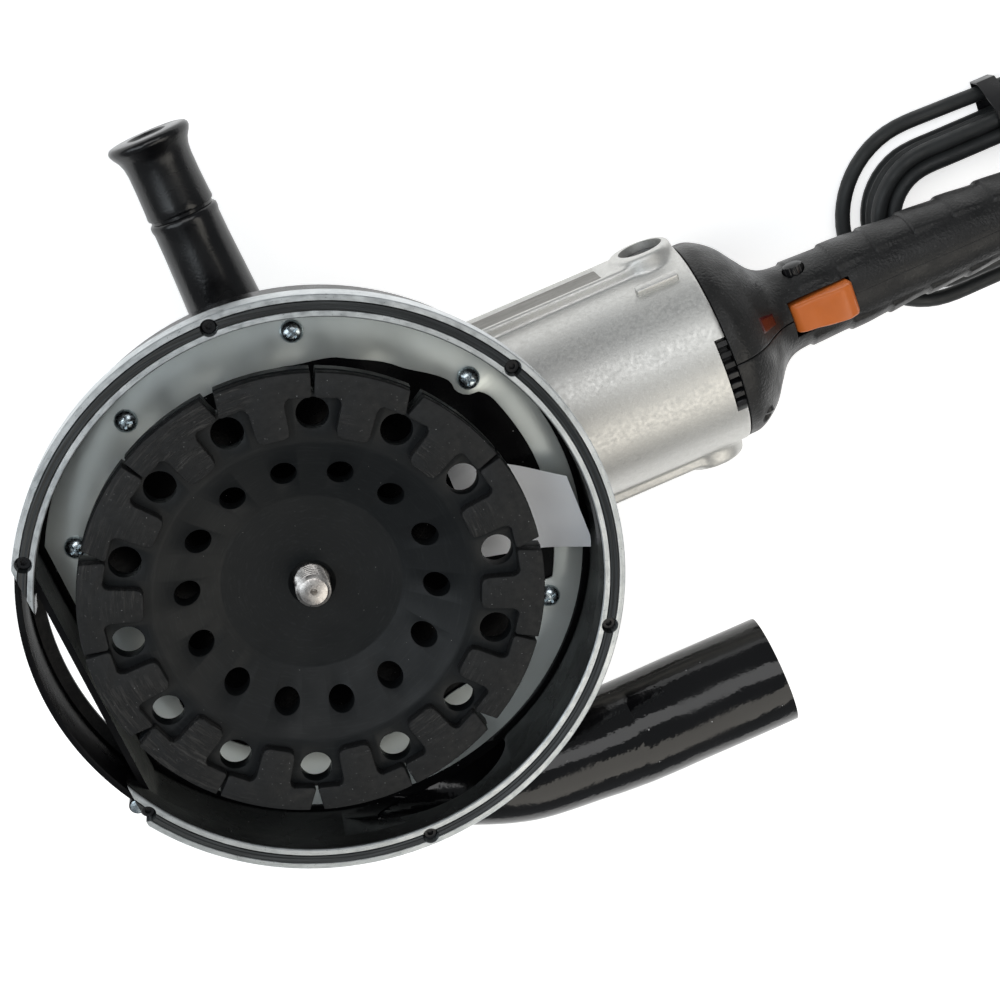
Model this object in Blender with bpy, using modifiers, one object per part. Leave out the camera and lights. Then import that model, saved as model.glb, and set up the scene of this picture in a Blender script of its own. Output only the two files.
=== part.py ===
"""Concrete-grinding angle grinder with a dust hood, a diamond cup wheel and a straight rear handle.

It lies on its back, with the wheel up. Units are metres and +Z is up. The spindle turns on the Z axis,
the motor on an axis along +X, and the origin is on the flat top of the gear head, which is down here.
"""

import math

import bmesh
import bpy
from mathutils import Vector

# Fits
GAP = 0.0003  # between pieces that touch
RUN = 0.0006  # between pieces that move past each other
ROUND = 32  # sides of a large round piece
SMALL = 16  # sides of a small round piece

# Overall
FACE_Z = 0.147  # grinding face of the wheel above the rest face
MOTOR_Z = 0.047  # motor axis above the rest face
HANDLE_END = 0.400  # rear end of the grip, from the spindle axis

# Cup wheel
WHEEL_RADIUS = 0.090
WHEEL_DEPTH = 0.0255
HUB_RADIUS = 0.036
HUB_RECESS = 0.0195
SEGMENT_HEIGHT = 0.005
SEGMENT_WIDTH = 0.010
SEGMENT_FOOT = 0.014
PLATE = 0.006
WHEEL_HOLES = 14
OUTER_HOLE_CIRCLE = 0.073
OUTER_HOLE_RADIUS = 0.0063
INNER_HOLE_CIRCLE = 0.0485
INNER_HOLE_RADIUS = 0.0051
FIRST_HOLE = math.radians(15.6)

# Spindle
SPINDLE_RADIUS = 0.007
SPINDLE_RECESS = 0.0085  # tip of the thread below the grinding face
FLANGE_RADIUS = 0.020
FLANGE_THICK = 0.005
JOURNAL_RADIUS = 0.0085
COLLAR_RADIUS = 0.013
LOCK_PIN_RADIUS = 0.0023
LOCK_TRAVEL = 0.005

# Bevel gears
GEAR_TEETH = 30
PINION_TEETH = 9
GEAR_RADIUS = 0.026
TOOTH_SHARE = 0.38  # width of a tooth as a share of its pitch
ADDENDUM = 0.0013
DEDENDUM = 0.0019
FACE_SHARE = 0.65  # inner end of a tooth as a share of the cone distance

# Gear head
HEAD_RADIUS = 0.037
HEAD_CAVITY = 0.031
HEAD_TOP = 0.081  # face under the bearing flange
NECK_RADIUS = 0.0295
PAD_RADIUS = 0.028
FLANGE_SCREW = 0.0015  # shank radius of the bearing flange's screws
LOWER_BEARING = (0.0175, 0.011)  # outer radius and width
UPPER_BEARING = (0.011, 0.009)
FRONT_BEARING = (0.014, 0.0076)
REAR_BEARING = (0.011, 0.0074)

# Motor
MOTOR_START = 0.0523
MOTOR_END = 0.194
MOTOR_RADIUS = 0.0453
MOTOR_BORE = 0.0408
STATOR = (0.084, 0.144)
STATOR_BORE = 0.0275
ARMATURE_RADIUS = 0.0267
SHAFT_RADIUS = 0.007
FAN_RADIUS = 0.038
COMMUTATOR_RADIUS = 0.015
BRUSH_X = 0.180
BOSS_RADIUS = 0.0145
BOSS_REACH = 0.051
RAIL_REACH = 0.049
RAIL_HALF = 0.013
BACK_PAD_HALF = 0.025

# Grip
WALL = 0.003
SLOT_START = 0.2279
SLOT_END = 0.2571
TRIGGER_HALF = 0.0074
BUTTON_X = 0.238
BUTTON_Z = MOTOR_Z + 0.008
BUTTON_RADIUS = 0.0044

# Side handle
SIDE_X = 0.009
SIDE_END = 0.175
STUD_RADIUS = 0.006

# Dust hood
HOOD_X = 0.0045  # centre of the hood, ahead of the spindle axis
HOOD_RADIUS = 0.113
HOOD_WALL = 0.0025
HOOD_BACK = 0.106  # outer face of the back plate
BACK_PLATE = 0.003
CHORD_X = HOOD_X + 0.0135 - HOOD_RADIUS  # outer face of the flat front wall
HOOD_HOLE = 0.033
RIM_RADIUS = HOOD_RADIUS + 0.0045
RIM_WIDTH = 0.0085
RIM_BASE = 0.138
RIM_TOP = 0.148
GROOVE = (0.0036, 0.006)  # width and depth of the groove in the rim
BRUSH_PROUD = 0.0005
LINER_THICK = 0.0012
LINER_HOLE = 0.082
SCREW_CIRCLE = HOOD_RADIUS - 0.017
SCREW_ANGLES = (151, 117.5, 73, 29, -33.5)
SCREW_SHANK = 0.0019
SCREW_HEAD = 0.0046
DOOR_RADIUS = HOOD_RADIUS + 0.004
DOOR_WALL = 0.0025
DOOR_TOP = 0.1365
DOOR_LIP = 0.005  # reach of the flat lip along the door's lower edge
LIP_THICK = 0.0015
PIVOT_ANGLE = math.radians(-152.5)
PIVOT_RADIUS = HOOD_RADIUS + 0.0045
BARREL_RADIUS = 0.0035
PIN_RADIUS = 0.0018
PORT_RADIUS = 0.0235
PORT_WALL = 0.003
PORT_END = 0.162
PORT_Y = -HOOD_RADIUS - 0.0155
PORT_Z = 0.1068

# Lead
CORD_RADIUS = 0.0035
HANK_CENTRE = (0.377, 0.002)
HANK_RUN = 0.114
HANK_OUTER = 0.046
HANK_WIDTH = 0.026
HANK_HEIGHT = 0.0215
GUARD_LENGTH = 0.046
GUARD_END = HANDLE_END + GUARD_LENGTH
PLUG_X = 0.505
PLUG_Y = 0.043
PLUG_RADIUS = 0.0185

METAL = ((0.62, 0.62, 0.60), 0.38, 0.9)
STEEL = ((0.52, 0.52, 0.52), 0.3, 1.0)
COPPER = ((0.72, 0.36, 0.18), 0.35, 1.0)
BLACK = ((0.012, 0.012, 0.013), 0.5, 0.0)
GLOSS = ((0.008, 0.008, 0.009), 0.15, 0.0)
WHEEL_BLACK = ((0.018, 0.019, 0.021), 0.6, 0.0)
ORANGE = ((0.85, 0.25, 0.03), 0.35, 0.0)
RUBBER = ((0.02, 0.02, 0.02), 0.7, 0.0)
GREY = ((0.3, 0.3, 0.32), 0.5, 0.3)


def clear_scene():
    """Empties the startup scene."""
    for obj in list(bpy.data.objects):
        bpy.data.objects.remove(obj)


def new_collection(name):
    """A collection under the scene's own."""
    made = bpy.data.collections.new(name)
    bpy.context.scene.collection.children.link(made)
    return made


clear_scene()
PARTS = new_collection("angle_grinder")
CUTTERS = new_collection("cutters")


def place(name, mesh, look):
    """Puts a mesh in the scene, as a part with a look or as a cutter without one."""
    obj = bpy.data.objects.new(name, mesh)
    if look is None:
        CUTTERS.objects.link(obj)
        obj.hide_render = True
        obj.display_type = "WIRE"
        return obj
    PARTS.objects.link(obj)
    colour, roughness, metallic = look
    made = bpy.data.materials.new(name)
    made.use_nodes = True
    shader = made.node_tree.nodes["Principled BSDF"]
    shader.inputs["Base Color"].default_value = (*colour, 1)
    shader.inputs["Roughness"].default_value = roughness
    shader.inputs["Metallic"].default_value = metallic
    mesh.materials.append(made)
    return obj


TURN = {"X": (0, math.pi / 2, 0), "Y": (-math.pi / 2, 0, 0), "Z": (0, 0, 0)}


def turned(name, profile, look, centre=(0, 0, 0), axis="Z", sides=ROUND, ring=False):
    """A turned solid. The profile is (radius, height) down its outer side, and a ring's goes on up its bore."""
    mesh = bpy.data.meshes.new(name)
    count = len(profile)
    edges = [(i, i + 1) for i in range(count - 1)]
    if ring:
        edges.append((count - 1, 0))
    mesh.from_pydata([(r, 0, h) for r, h in profile], edges, [])
    obj = place(name, mesh, look)
    obj.location = centre
    obj.rotation_euler = TURN[axis]
    screw = obj.modifiers.new("turn", "SCREW")
    screw.steps = sides
    screw.render_steps = sides
    screw.use_merge_vertices = True
    screw.merge_threshold = 0.00001
    return obj


def ring_profile(outer, inner, low, high):
    """The profile of a plain ring."""
    return [(outer, high), (outer, low), (inner, low), (inner, high)]


def rod_profile(steps):
    """The profile of a solid shaft from (radius, low, high) steps, highest first."""
    points = [(0, steps[0][2])]
    for radius, low, high in steps:
        points.append((radius, high))
        points.append((radius, low))
    points.append((0, steps[-1][1]))
    return points


def cylinder(name, radius, low, high, look, centre=(0, 0, 0), axis="Z", sides=SMALL):
    """A solid cylinder along an axis, from low to high of the centre."""
    return turned(name, rod_profile([(radius, low, high)]), look, centre, axis, sides)


def box(name, low, high, look):
    """A block between two corners."""
    shape = bmesh.new()
    bmesh.ops.create_cube(shape, size=1)
    for vert in shape.verts:
        vert.co = Vector(low[i] if vert.co[i] < 0 else high[i] for i in range(3))
    mesh = bpy.data.meshes.new(name)
    shape.to_mesh(mesh)
    shape.free()
    return place(name, mesh, look)


def soften(obj, width, segments=2):
    """Rounds the sharp edges."""
    bevel = obj.modifiers.new("round", "BEVEL")
    bevel.width = width
    bevel.segments = segments
    bevel.limit_method = "ANGLE"
    bevel.angle_limit = math.radians(40)


def prism(name, outlines, low, high, look, plane="XY"):
    """Flat outlines made thick from low to high across their plane: Z for XY, Y for XZ."""
    curve = bpy.data.curves.new(name, "CURVE")
    curve.dimensions = "2D"
    curve.fill_mode = "BOTH"
    curve.extrude = (high - low) / 2
    for outline in outlines:
        spline = curve.splines.new("POLY")
        spline.points.add(len(outline) - 1)
        for point, (x, y) in zip(spline.points, outline):
            point.co = (x, y, 0, 1)
        spline.use_cyclic_u = True
    guide = bpy.data.objects.new(name + "_outline", curve)
    bpy.context.scene.collection.objects.link(guide)
    graph = bpy.context.evaluated_depsgraph_get()
    mesh = bpy.data.meshes.new_from_object(guide.evaluated_get(graph))
    bpy.data.objects.remove(guide)
    shape = bmesh.new()
    shape.from_mesh(mesh)
    bmesh.ops.remove_doubles(shape, verts=shape.verts, dist=0.00001)
    middle = (low + high) / 2
    for vert in shape.verts:
        x, y, z = vert.co
        vert.co = (x, y, z + middle) if plane == "XY" else (x, middle - z, y)
    bmesh.ops.recalc_face_normals(shape, faces=shape.faces)
    shape.to_mesh(mesh)
    shape.free()
    mesh.name = name
    return place(name, mesh, look)


def cut(obj, *cutters):
    """Takes each cutter's shape from the object."""
    for cutter in cutters:
        boolean = obj.modifiers.new("cut", "BOOLEAN")
        boolean.operation = "DIFFERENCE"
        boolean.object = cutter


def join(obj, *others):
    """Adds each other shape to the object."""
    for other in others:
        boolean = obj.modifiers.new("join", "BOOLEAN")
        boolean.operation = "UNION"
        boolean.object = other


def loft(name, rings, look):
    """A closed solid through rings of equal count, capped at both ends."""
    shape = bmesh.new()
    rows = [[shape.verts.new(point) for point in ring] for ring in rings]
    count = len(rows[0])
    for row, after in zip(rows, rows[1:]):
        for i in range(count):
            j = (i + 1) % count
            shape.faces.new((row[i], row[j], after[j], after[i]))
    shape.faces.new(rows[0][::-1])
    shape.faces.new(rows[-1])
    bmesh.ops.recalc_face_normals(shape, faces=shape.faces)
    mesh = bpy.data.meshes.new(name)
    shape.to_mesh(mesh)
    shape.free()
    return place(name, mesh, look)


def arc(centre, radius, start, end, count):
    """Points along a circular arc, ends included."""
    found = []
    for i in range(count + 1):
        angle = start + (end - start) * i / count
        found.append((centre[0] + radius * math.cos(angle), centre[1] + radius * math.sin(angle)))
    return found


def smooth_route(points, spacing):
    """Points a set distance apart on a smooth curve through the given ones."""
    route = [Vector(p) for p in points]
    route = [2 * route[0] - route[1], *route, 2 * route[-1] - route[-2]]
    found = []
    for a, b, c, d in zip(route, route[1:], route[2:], route[3:]):
        steps = max(2, round((c - b).length / spacing))
        for i in range(steps):
            t = i / steps
            found.append(
                0.5 * (2 * b + (c - a) * t + (2 * a - 5 * b + 4 * c - d) * t**2 + (3 * b - a - 3 * c + d) * t**3)
            )
    return [*found, route[-2]]


def tube(name, points, radius, look):
    """A round tube along a route."""
    curve = bpy.data.curves.new(name, "CURVE")
    curve.dimensions = "3D"
    curve.bevel_depth = radius
    curve.bevel_resolution = 2
    curve.use_fill_caps = True
    spline = curve.splines.new("POLY")
    spline.points.add(len(points) - 1)
    for point, place_at in zip(spline.points, points):
        point.co = (*place_at, 1)
    return place(name, curve, look)


def below_face(depth):
    """Height of a level that lies this far below the grinding face."""
    return FACE_Z - depth


# Levels on the spindle
HUB_FRONT = below_face(HUB_RECESS)
WHEEL_BACK = below_face(WHEEL_DEPTH)
FLANGE_TOP = WHEEL_BACK - GAP
FLANGE_BACK = FLANGE_TOP - FLANGE_THICK
NECK_TOP = FLANGE_BACK - 0.003
LOWER_SEAT = below_face(0.045)
COLLAR = (below_face(0.0795), below_face(0.070))
GEAR_BACK = COLLAR[0] - GAP
GEAR_FRONT = MOTOR_Z + 0.0061
UPPER_SEAT = MOTOR_Z - 0.017
SPINDLE_FOOT = UPPER_SEAT - UPPER_BEARING[1] - GAP


def wheel_angles(offset=0.0):
    """The angle of each hole of one ring in the wheel."""
    return [FIRST_HOLE + (i + offset) * math.tau / WHEEL_HOLES for i in range(WHEEL_HOLES)]


def cup_wheel():
    """The steel cup, with its two rings of holes."""
    step = below_face(SEGMENT_HEIGHT)
    rim_inner = WHEEL_RADIUS - 0.028
    bore = SPINDLE_RADIUS + GAP
    profile = [
        (bore, HUB_FRONT),
        (HUB_RADIUS, HUB_FRONT),
        (rim_inner, step),
        (WHEEL_RADIUS, step),
        (WHEEL_RADIUS, step - PLATE),
        (rim_inner + 0.002, step - PLATE),
        (HUB_RADIUS + 0.004, WHEEL_BACK),
        (bore, WHEEL_BACK),
    ]
    wheel = turned("cup_wheel", profile, WHEEL_BLACK, ring=True, sides=42)
    for circle, radius, offset in (
        (OUTER_HOLE_CIRCLE, OUTER_HOLE_RADIUS, 0),
        (INNER_HOLE_CIRCLE, INNER_HOLE_RADIUS, 0.5),
    ):
        for i, angle in enumerate(wheel_angles(offset)):
            spot = (circle * math.cos(angle), circle * math.sin(angle), 0)
            name = f"wheel_hole_{offset}_{i}"
            cut(wheel, cylinder(name, radius, WHEEL_BACK - 0.001, FACE_Z, None, spot, sides=8))


def diamond_ring():
    """The ring of diamond segments: a slotted band with a foot between each two holes."""
    pitch = math.tau / WHEEL_HOLES
    outer = WHEEL_RADIUS - GAP
    inner = WHEEL_RADIUS - SEGMENT_WIDTH
    foot = OUTER_HOLE_CIRCLE - OUTER_HOLE_RADIUS - 0.002
    slot = 0.0016 / outer
    half_foot = SEGMENT_FOOT / 2 / OUTER_HOLE_CIRCLE
    outside = []
    inside = []
    for angle in wheel_angles():
        outside.append((inner + 0.004, angle))
        outside += [(outer, angle + slot + (pitch - 2 * slot) * i / 4) for i in range(5)]
        middle = angle + pitch / 2
        inside += [(inner, middle - half_foot), (foot, middle - half_foot * 0.9)]
        inside += [(foot, middle + half_foot * 0.9), (inner, middle + half_foot)]
    outlines = [[(r * math.cos(a), r * math.sin(a)) for r, a in side] for side in (outside, inside)]
    low = below_face(SEGMENT_HEIGHT) + GAP
    prism("diamond_ring", outlines, low, FACE_Z, WHEEL_BLACK)


def spindle():
    """The threaded spindle, with the collar that the lock pin enters."""
    steps = [
        (SPINDLE_RADIUS, FLANGE_BACK - GAP, below_face(SPINDLE_RECESS)),
        (JOURNAL_RADIUS, COLLAR[1], FLANGE_BACK - GAP),
        (COLLAR_RADIUS, COLLAR[0], COLLAR[1]),
        (JOURNAL_RADIUS - 0.0005, GEAR_FRONT - GAP, COLLAR[0]),
        (UPPER_BEARING[0] / 2, SPINDLE_FOOT, GEAR_FRONT - GAP),
    ]
    shaft = turned("spindle", rod_profile(steps), STEEL, sides=SMALL)
    spot = (0, 0, sum(COLLAR) / 2)
    bottom = COLLAR_RADIUS - LOCK_TRAVEL
    for i in range(4):
        hole = cylinder(f"lock_hole_{i}", LOCK_PIN_RADIUS + RUN, bottom, 0.02, None, spot, "Y", 12)
        hole.rotation_euler = (math.pi / 2, 0, i * math.pi / 2)
        cut(shaft, hole)


def wheel_flange():
    """The inner flange that the wheel seats against."""
    profile = ring_profile(FLANGE_RADIUS, SPINDLE_RADIUS + GAP, FLANGE_BACK, FLANGE_TOP)
    turned("wheel_flange", profile, STEEL, sides=24, ring=True)


def flat_circle(ring, radius, height):
    """The points of a ring, brought to one radius and height."""
    found = []
    for x, y, _ in ring:
        scale = radius / math.hypot(x, y)
        found.append((x * scale, y * scale, height))
    return found


def bevel(name, teeth, pitch_radius, partner_radius, back, bore, first, look):
    """A straight bevel gear on +Z with its cone's tip at the origin and its teeth towards it."""
    tilt = math.atan2(pitch_radius, partner_radius)
    along = Vector((math.sin(tilt), math.cos(tilt)))
    out = Vector((math.cos(tilt), -math.sin(tilt)))
    cone = math.hypot(pitch_radius, partner_radius)
    sections = []
    for share in (1.0, FACE_SHARE):
        pitch_point = along * cone * share
        tip = pitch_point + out * ADDENDUM * share
        root = pitch_point - out * DEDENDUM * share
        sections.append((root, tip))
    rings = []
    for root, tip in sections:
        ring = []
        for i in range(teeth):
            middle = first + i * math.tau / teeth
            for point, side in ((root, -1.25), (tip, -0.7), (tip, 0.7), (root, 1.25)):
                angle = middle + side * TOOTH_SHARE * math.pi / teeth
                ring.append((point.x * math.cos(angle), point.x * math.sin(angle), point.y))
        rings.append(ring)
    edge = flat_circle(rings[0], sections[0][0].x * 0.98, back)
    inner_root, inner_tip = sections[1]
    front = flat_circle(rings[1], inner_root.x * 0.85, min(inner_tip.y, inner_root.y))
    gear = loft(name, [edge, rings[0], rings[1], front], look)
    cut(gear, cylinder(name + "_bore", bore, -0.01, back + 0.03, None, sides=SMALL))
    return gear


def bevel_gears():
    """The crown gear on the spindle and the pinion on the motor shaft, in mesh."""
    pinion_radius = GEAR_RADIUS * PINION_TEETH / GEAR_TEETH
    seat = JOURNAL_RADIUS - 0.0005 + GAP
    back = GEAR_BACK - MOTOR_Z
    crown = bevel("crown_gear", GEAR_TEETH, GEAR_RADIUS, pinion_radius, back, seat, 0, STEEL)
    move_with_cutters(crown, (0, 0, MOTOR_Z), (0, 0, 0))
    first = math.pi / PINION_TEETH
    bore = 0.0025 + GAP
    pinion = bevel("drive_pinion", PINION_TEETH, pinion_radius, GEAR_RADIUS, 0.034, bore, first, STEEL)
    move_with_cutters(pinion, (0, 0, MOTOR_Z), (math.pi, -math.pi / 2, 0))


def move_with_cutters(obj, location, rotation):
    """Places an object together with the shapes that cut it."""
    for modifier in obj.modifiers:
        if modifier.type == "BOOLEAN":
            modifier.object.location = location
            modifier.object.rotation_euler = rotation
    obj.location = location
    obj.rotation_euler = rotation


def bearing(name, size, bore, low, axis, centre):
    """A sealed ball bearing, as one ring."""
    outer, width = size
    profile = ring_profile(outer, bore, low, low + width)
    turned(name, profile, STEEL, centre, axis, 20, ring=True)


def bearings():
    """The two bearings of the spindle and the two of the motor shaft."""
    low = LOWER_SEAT - LOWER_BEARING[1]
    bearing("spindle_bearing_front", LOWER_BEARING, JOURNAL_RADIUS + GAP, low, "Z", (0, 0, 0))
    low = UPPER_SEAT - UPPER_BEARING[1]
    bearing("spindle_bearing_rear", UPPER_BEARING, UPPER_BEARING[0] / 2 + GAP, low, "Z", (0, 0, 0))
    bearing("motor_bearing_front", FRONT_BEARING, 0.0063, 0.0413, "X", (0, 0, MOTOR_Z))
    bearing("motor_bearing_rear", REAR_BEARING, 0.0043, 0.1983, "X", (0, 0, MOTOR_Z))


def flange_screw_spots():
    """Where the four screws go through the bearing flange into the wall of the gear head."""
    middle = (HEAD_CAVITY + HEAD_RADIUS - 0.001) / 2
    angles = [math.radians(45 + 90 * i) for i in range(4)]
    return [(middle * math.cos(a), middle * math.sin(a), 0) for a in angles]


def bearing_flange():
    """The flange that closes the gear head and carries the hood on its neck."""
    outer, width = LOWER_BEARING
    pocket = LOWER_SEAT + GAP
    base = HEAD_TOP + GAP
    disc = base + 0.006
    seal = JOURNAL_RADIUS + RUN
    profile = [
        (NECK_RADIUS, NECK_TOP),
        (NECK_RADIUS, disc),
        (HEAD_RADIUS - 0.001, disc),
        (HEAD_RADIUS - 0.001, base),
        (outer + GAP, base),
        (outer + GAP, pocket),
        (seal, pocket),
        (seal, NECK_TOP),
    ]
    flange = turned("bearing_flange", profile, METAL, ring=True)
    for i, spot in enumerate(flange_screw_spots()):
        reach = (base - 0.001, disc + 0.001)
        cut(flange, cylinder(f"flange_hole_{i}", FLANGE_SCREW + GAP, *reach, None, spot, sides=8))
        steps = [
            (0.0026, disc + GAP, disc + GAP + 0.0022),
            (FLANGE_SCREW, HEAD_TOP - 0.009, disc + GAP),
        ]
        turned(f"flange_screw_{i + 1}", rod_profile(steps), STEEL, spot, sides=12)


def gear_housing():
    """The cast gear head, open to the spindle side and to the motor."""
    half = HEAD_RADIUS - 0.001
    outline = [(MOTOR_START - GAP, -half), (MOTOR_START - GAP, half)]
    outline += arc((0, 0), half, math.pi / 2, 3 * math.pi / 2, 20)
    head = prism("gear_housing", [outline], 0.007, HEAD_TOP, METAL)
    join(head, cylinder("head_pad", PAD_RADIUS, 0, 0.010, None, sides=32))
    join(head, cylinder("side_boss", 0.012, 0.030, 0.043, None, (SIDE_X, 0, MOTOR_Z), "Y", 24))
    upper = UPPER_BEARING[0] + GAP
    lock_spot = (0, 0, sum(COLLAR) / 2)
    join(head, cylinder("lock_boss", 0.0075, -HEAD_RADIUS - 0.0005, -0.033, None, lock_spot, "Y"))
    for i, spot in enumerate(flange_screw_spots()):
        reach = (HEAD_TOP - 0.0095, HEAD_TOP + 0.001)
        cut(head, cylinder(f"head_screw_hole_{i}", FLANGE_SCREW + GAP, *reach, None, spot, sides=8))
    cut(
        head,
        cylinder("head_cavity", HEAD_CAVITY, UPPER_SEAT - 0.0005, HEAD_TOP + 0.01, None, sides=32),
        cylinder("upper_pocket", upper, UPPER_SEAT - UPPER_BEARING[1] - 0.0005, UPPER_SEAT, None),
        cylinder("pinion_room", 0.020, 0.013, 0.041, None, (0, 0, MOTOR_Z), "X", 24),
        cylinder("front_pocket", FRONT_BEARING[0] + GAP, 0.040, 0.0495, None, (0, 0, MOTOR_Z), "X"),
        cylinder("head_mouth", 0.026, 0.0494, 0.060, None, (0, 0, MOTOR_Z), "X"),
        cylinder("stud_hole", STUD_RADIUS + GAP, 0.0303, 0.050, None, (SIDE_X, 0, MOTOR_Z), "Y"),
        cylinder("lock_guide", 0.0044 + RUN, -0.050, -0.025, None, lock_spot, "Y"),
    )


def spindle_lock():
    """The button on the side of the gear head, whose pin enters the spindle's collar."""
    tip = -COLLAR_RADIUS - 0.001
    face = -HEAD_RADIUS - LOCK_TRAVEL - 0.0015
    steps = [(LOCK_PIN_RADIUS, -HEAD_CAVITY + 0.001, tip), (0.0044, face, -HEAD_CAVITY + 0.001)]
    turned("spindle_lock", rod_profile(steps), BLACK, (0, 0, sum(COLLAR) / 2), "Y", SMALL)


def motor_housing():
    """The cast motor tube, with a rail and a brush boss on each side and a flat pad on its back."""
    profile = [
        (MOTOR_RADIUS, MOTOR_END),
        (MOTOR_RADIUS - 0.0008, 0.085),
        (MOTOR_RADIUS - 0.0028, MOTOR_START),
        (0, MOTOR_START),
    ]
    axis = (0, 0, MOTOR_Z)
    tube_body = turned("motor_housing", [(0, MOTOR_END), *profile], METAL, axis, "X", 36)
    for side in (-1, 1):
        low, high = sorted((side * 0.036, side * RAIL_REACH))
        rail = box(
            f"rail_{side}", (0.062, low, MOTOR_Z - RAIL_HALF), (BRUSH_X, high, MOTOR_Z + RAIL_HALF), None
        )
        low, high = sorted((side * 0.036, side * BOSS_REACH))
        spot = (BRUSH_X - 0.0008, 0, MOTOR_Z)
        boss = cylinder(f"boss_{side}", BOSS_RADIUS - 0.0005, low, high, None, spot, "Y", 24)
        join(tube_body, rail, boss)
    pad = box("back_pad", (0.070, -BACK_PAD_HALF, 0), (0.182, BACK_PAD_HALF, 0.014), None)
    join(tube_body, pad)
    bore = cylinder("motor_bore", MOTOR_BORE, MOTOR_START + 0.003, 0.2, None, axis, "X", 36)
    mouth = cylinder("motor_mouth", 0.029, 0.05, 0.06, None, axis, "X", 32)
    ports = cylinder("cap_ports", 0.0095, -0.06, 0.06, None, (BRUSH_X, 0, MOTOR_Z), "Y", 24)
    cut(tube_body, bore, mouth, ports)


def motor_inside():
    """The stator, its coils, the air guide, the rear bearing bracket, and the brush gear."""
    axis = (0, 0, MOTOR_Z)
    outer = MOTOR_BORE - GAP
    start, end = STATOR
    turned("stator", ring_profile(outer, STATOR_BORE, start, end), GREY, axis, "X", 32, True)
    for name, low, high in (
        ("field_coil_front", start - 0.008, start - GAP),
        ("field_coil_rear", end + GAP, end + 0.008),
    ):
        turned(name, ring_profile(0.037, STATOR_BORE + 0.0005, low, high), COPPER, axis, "X", 28, True)
    turned("air_guide", ring_profile(outer, 0.030, 0.070, 0.072), BLACK, axis, "X", 28, True)
    profile = [
        (outer, 0.1938),
        (outer, 0.1900),
        (0.0093, 0.1900),
        (0.0093, 0.1980),
        (0.0113, 0.1980),
        (0.0113, 0.2060),
        (0.0060, 0.2060),
        (0.0060, 0.2080),
        (0.0150, 0.2080),
        (0.0150, 0.1938),
    ]
    turned("rear_bracket", profile, BLACK, axis, "X", 24, True)


def brush_gear():
    """A holder, a carbon brush and a screw cap on each side of the commutator."""
    for word, side in (("left", 1), ("right", -1)):
        low, high = sorted((side * (COMMUTATOR_RADIUS + 0.0015), side * 0.0395))
        holder = box(
            f"brush_holder_{word}",
            (BRUSH_X - 0.006, low, MOTOR_Z - 0.007),
            (BRUSH_X + 0.006, high, MOTOR_Z + 0.007),
            COPPER,
        )
        slot = box(
            f"holder_slot_{word}",
            (BRUSH_X - 0.0035, low - 0.01, MOTOR_Z - 0.0050),
            (BRUSH_X + 0.0035, high + 0.01, MOTOR_Z + 0.0050),
            None,
        )
        cut(holder, slot)
        low, high = sorted((side * (COMMUTATOR_RADIUS + GAP), side * 0.034))
        box(
            f"carbon_brush_{word}",
            (BRUSH_X - 0.0032, low, MOTOR_Z - 0.0047),
            (BRUSH_X + 0.0032, high, MOTOR_Z + 0.0047),
            BLACK,
        )
        low, high = sorted((side * 0.0425, side * (BOSS_REACH - 0.003)))
        cap = cylinder(
            f"brush_cap_{word}", 0.0095 - GAP, low, high, BLACK, (BRUSH_X, 0, MOTOR_Z), "Y", 24
        )
        low, high = sorted((side * (BOSS_REACH - 0.0045), side * (BOSS_REACH + 0.001)))
        slot = box(
            f"cap_slot_{word}", (BRUSH_X - 0.006, low, MOTOR_Z - 0.001), (BRUSH_X + 0.006, high, MOTOR_Z + 0.001), None
        )
        cut(cap, slot)


def armature():
    """The motor shaft and what turns with it."""
    axis = (0, 0, MOTOR_Z)
    steps = [
        (0.0040, 0.1970, 0.2055),
        (SHAFT_RADIUS, 0.0496, 0.1970),
        (0.0060, 0.0343, 0.0496),
        (0.0025, 0.0185, 0.0343),
    ]
    turned("motor_shaft", rod_profile(steps), STEEL, axis, "X", SMALL)
    bore = SHAFT_RADIUS + GAP
    low, high = STATOR
    profile = [
        (0.018, high + 0.009),
        (0.022, high + 0.006),
        (0.022, high + 0.0005),
        (ARMATURE_RADIUS, high),
        (ARMATURE_RADIUS, low),
        (0.022, low - 0.0005),
        (0.022, low - 0.006),
        (0.018, low - 0.009),
        (bore, low - 0.009),
        (bore, high + 0.009),
    ]
    turned("armature_core", profile, COPPER, axis, "X", 24, True)
    profile = ring_profile(COMMUTATOR_RADIUS, bore, BRUSH_X - 0.009, BRUSH_X + 0.0085)
    turned("commutator", profile, COPPER, axis, "X", 24, True)
    fan_blades = []
    count = 9
    for i in range(count):
        angle = i * math.tau / count
        half = 0.10
        fan_blades += [
            (0.012, angle - half * 2),
            (FAN_RADIUS - 0.001, angle + 0.25),
            (FAN_RADIUS - 0.001, angle + 0.30),
            (0.012, angle - half * 0.2),
        ]
    outline = [(r * math.cos(a), r * math.sin(a)) for r, a in fan_blades]
    blades = prism("fan_blades", [outline], 0.0585, 0.0665, None)
    blades.location = axis
    blades.rotation_euler = TURN["X"]
    disc = ring_profile(FAN_RADIUS, bore, 0.0565, 0.0590)
    fan = turned("cooling_fan", disc, BLACK, axis, "X", 24, True)
    join(fan, blades)
    cut(fan, cylinder("fan_bore", bore, 0.05, 0.08, None, axis, "X"))


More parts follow.
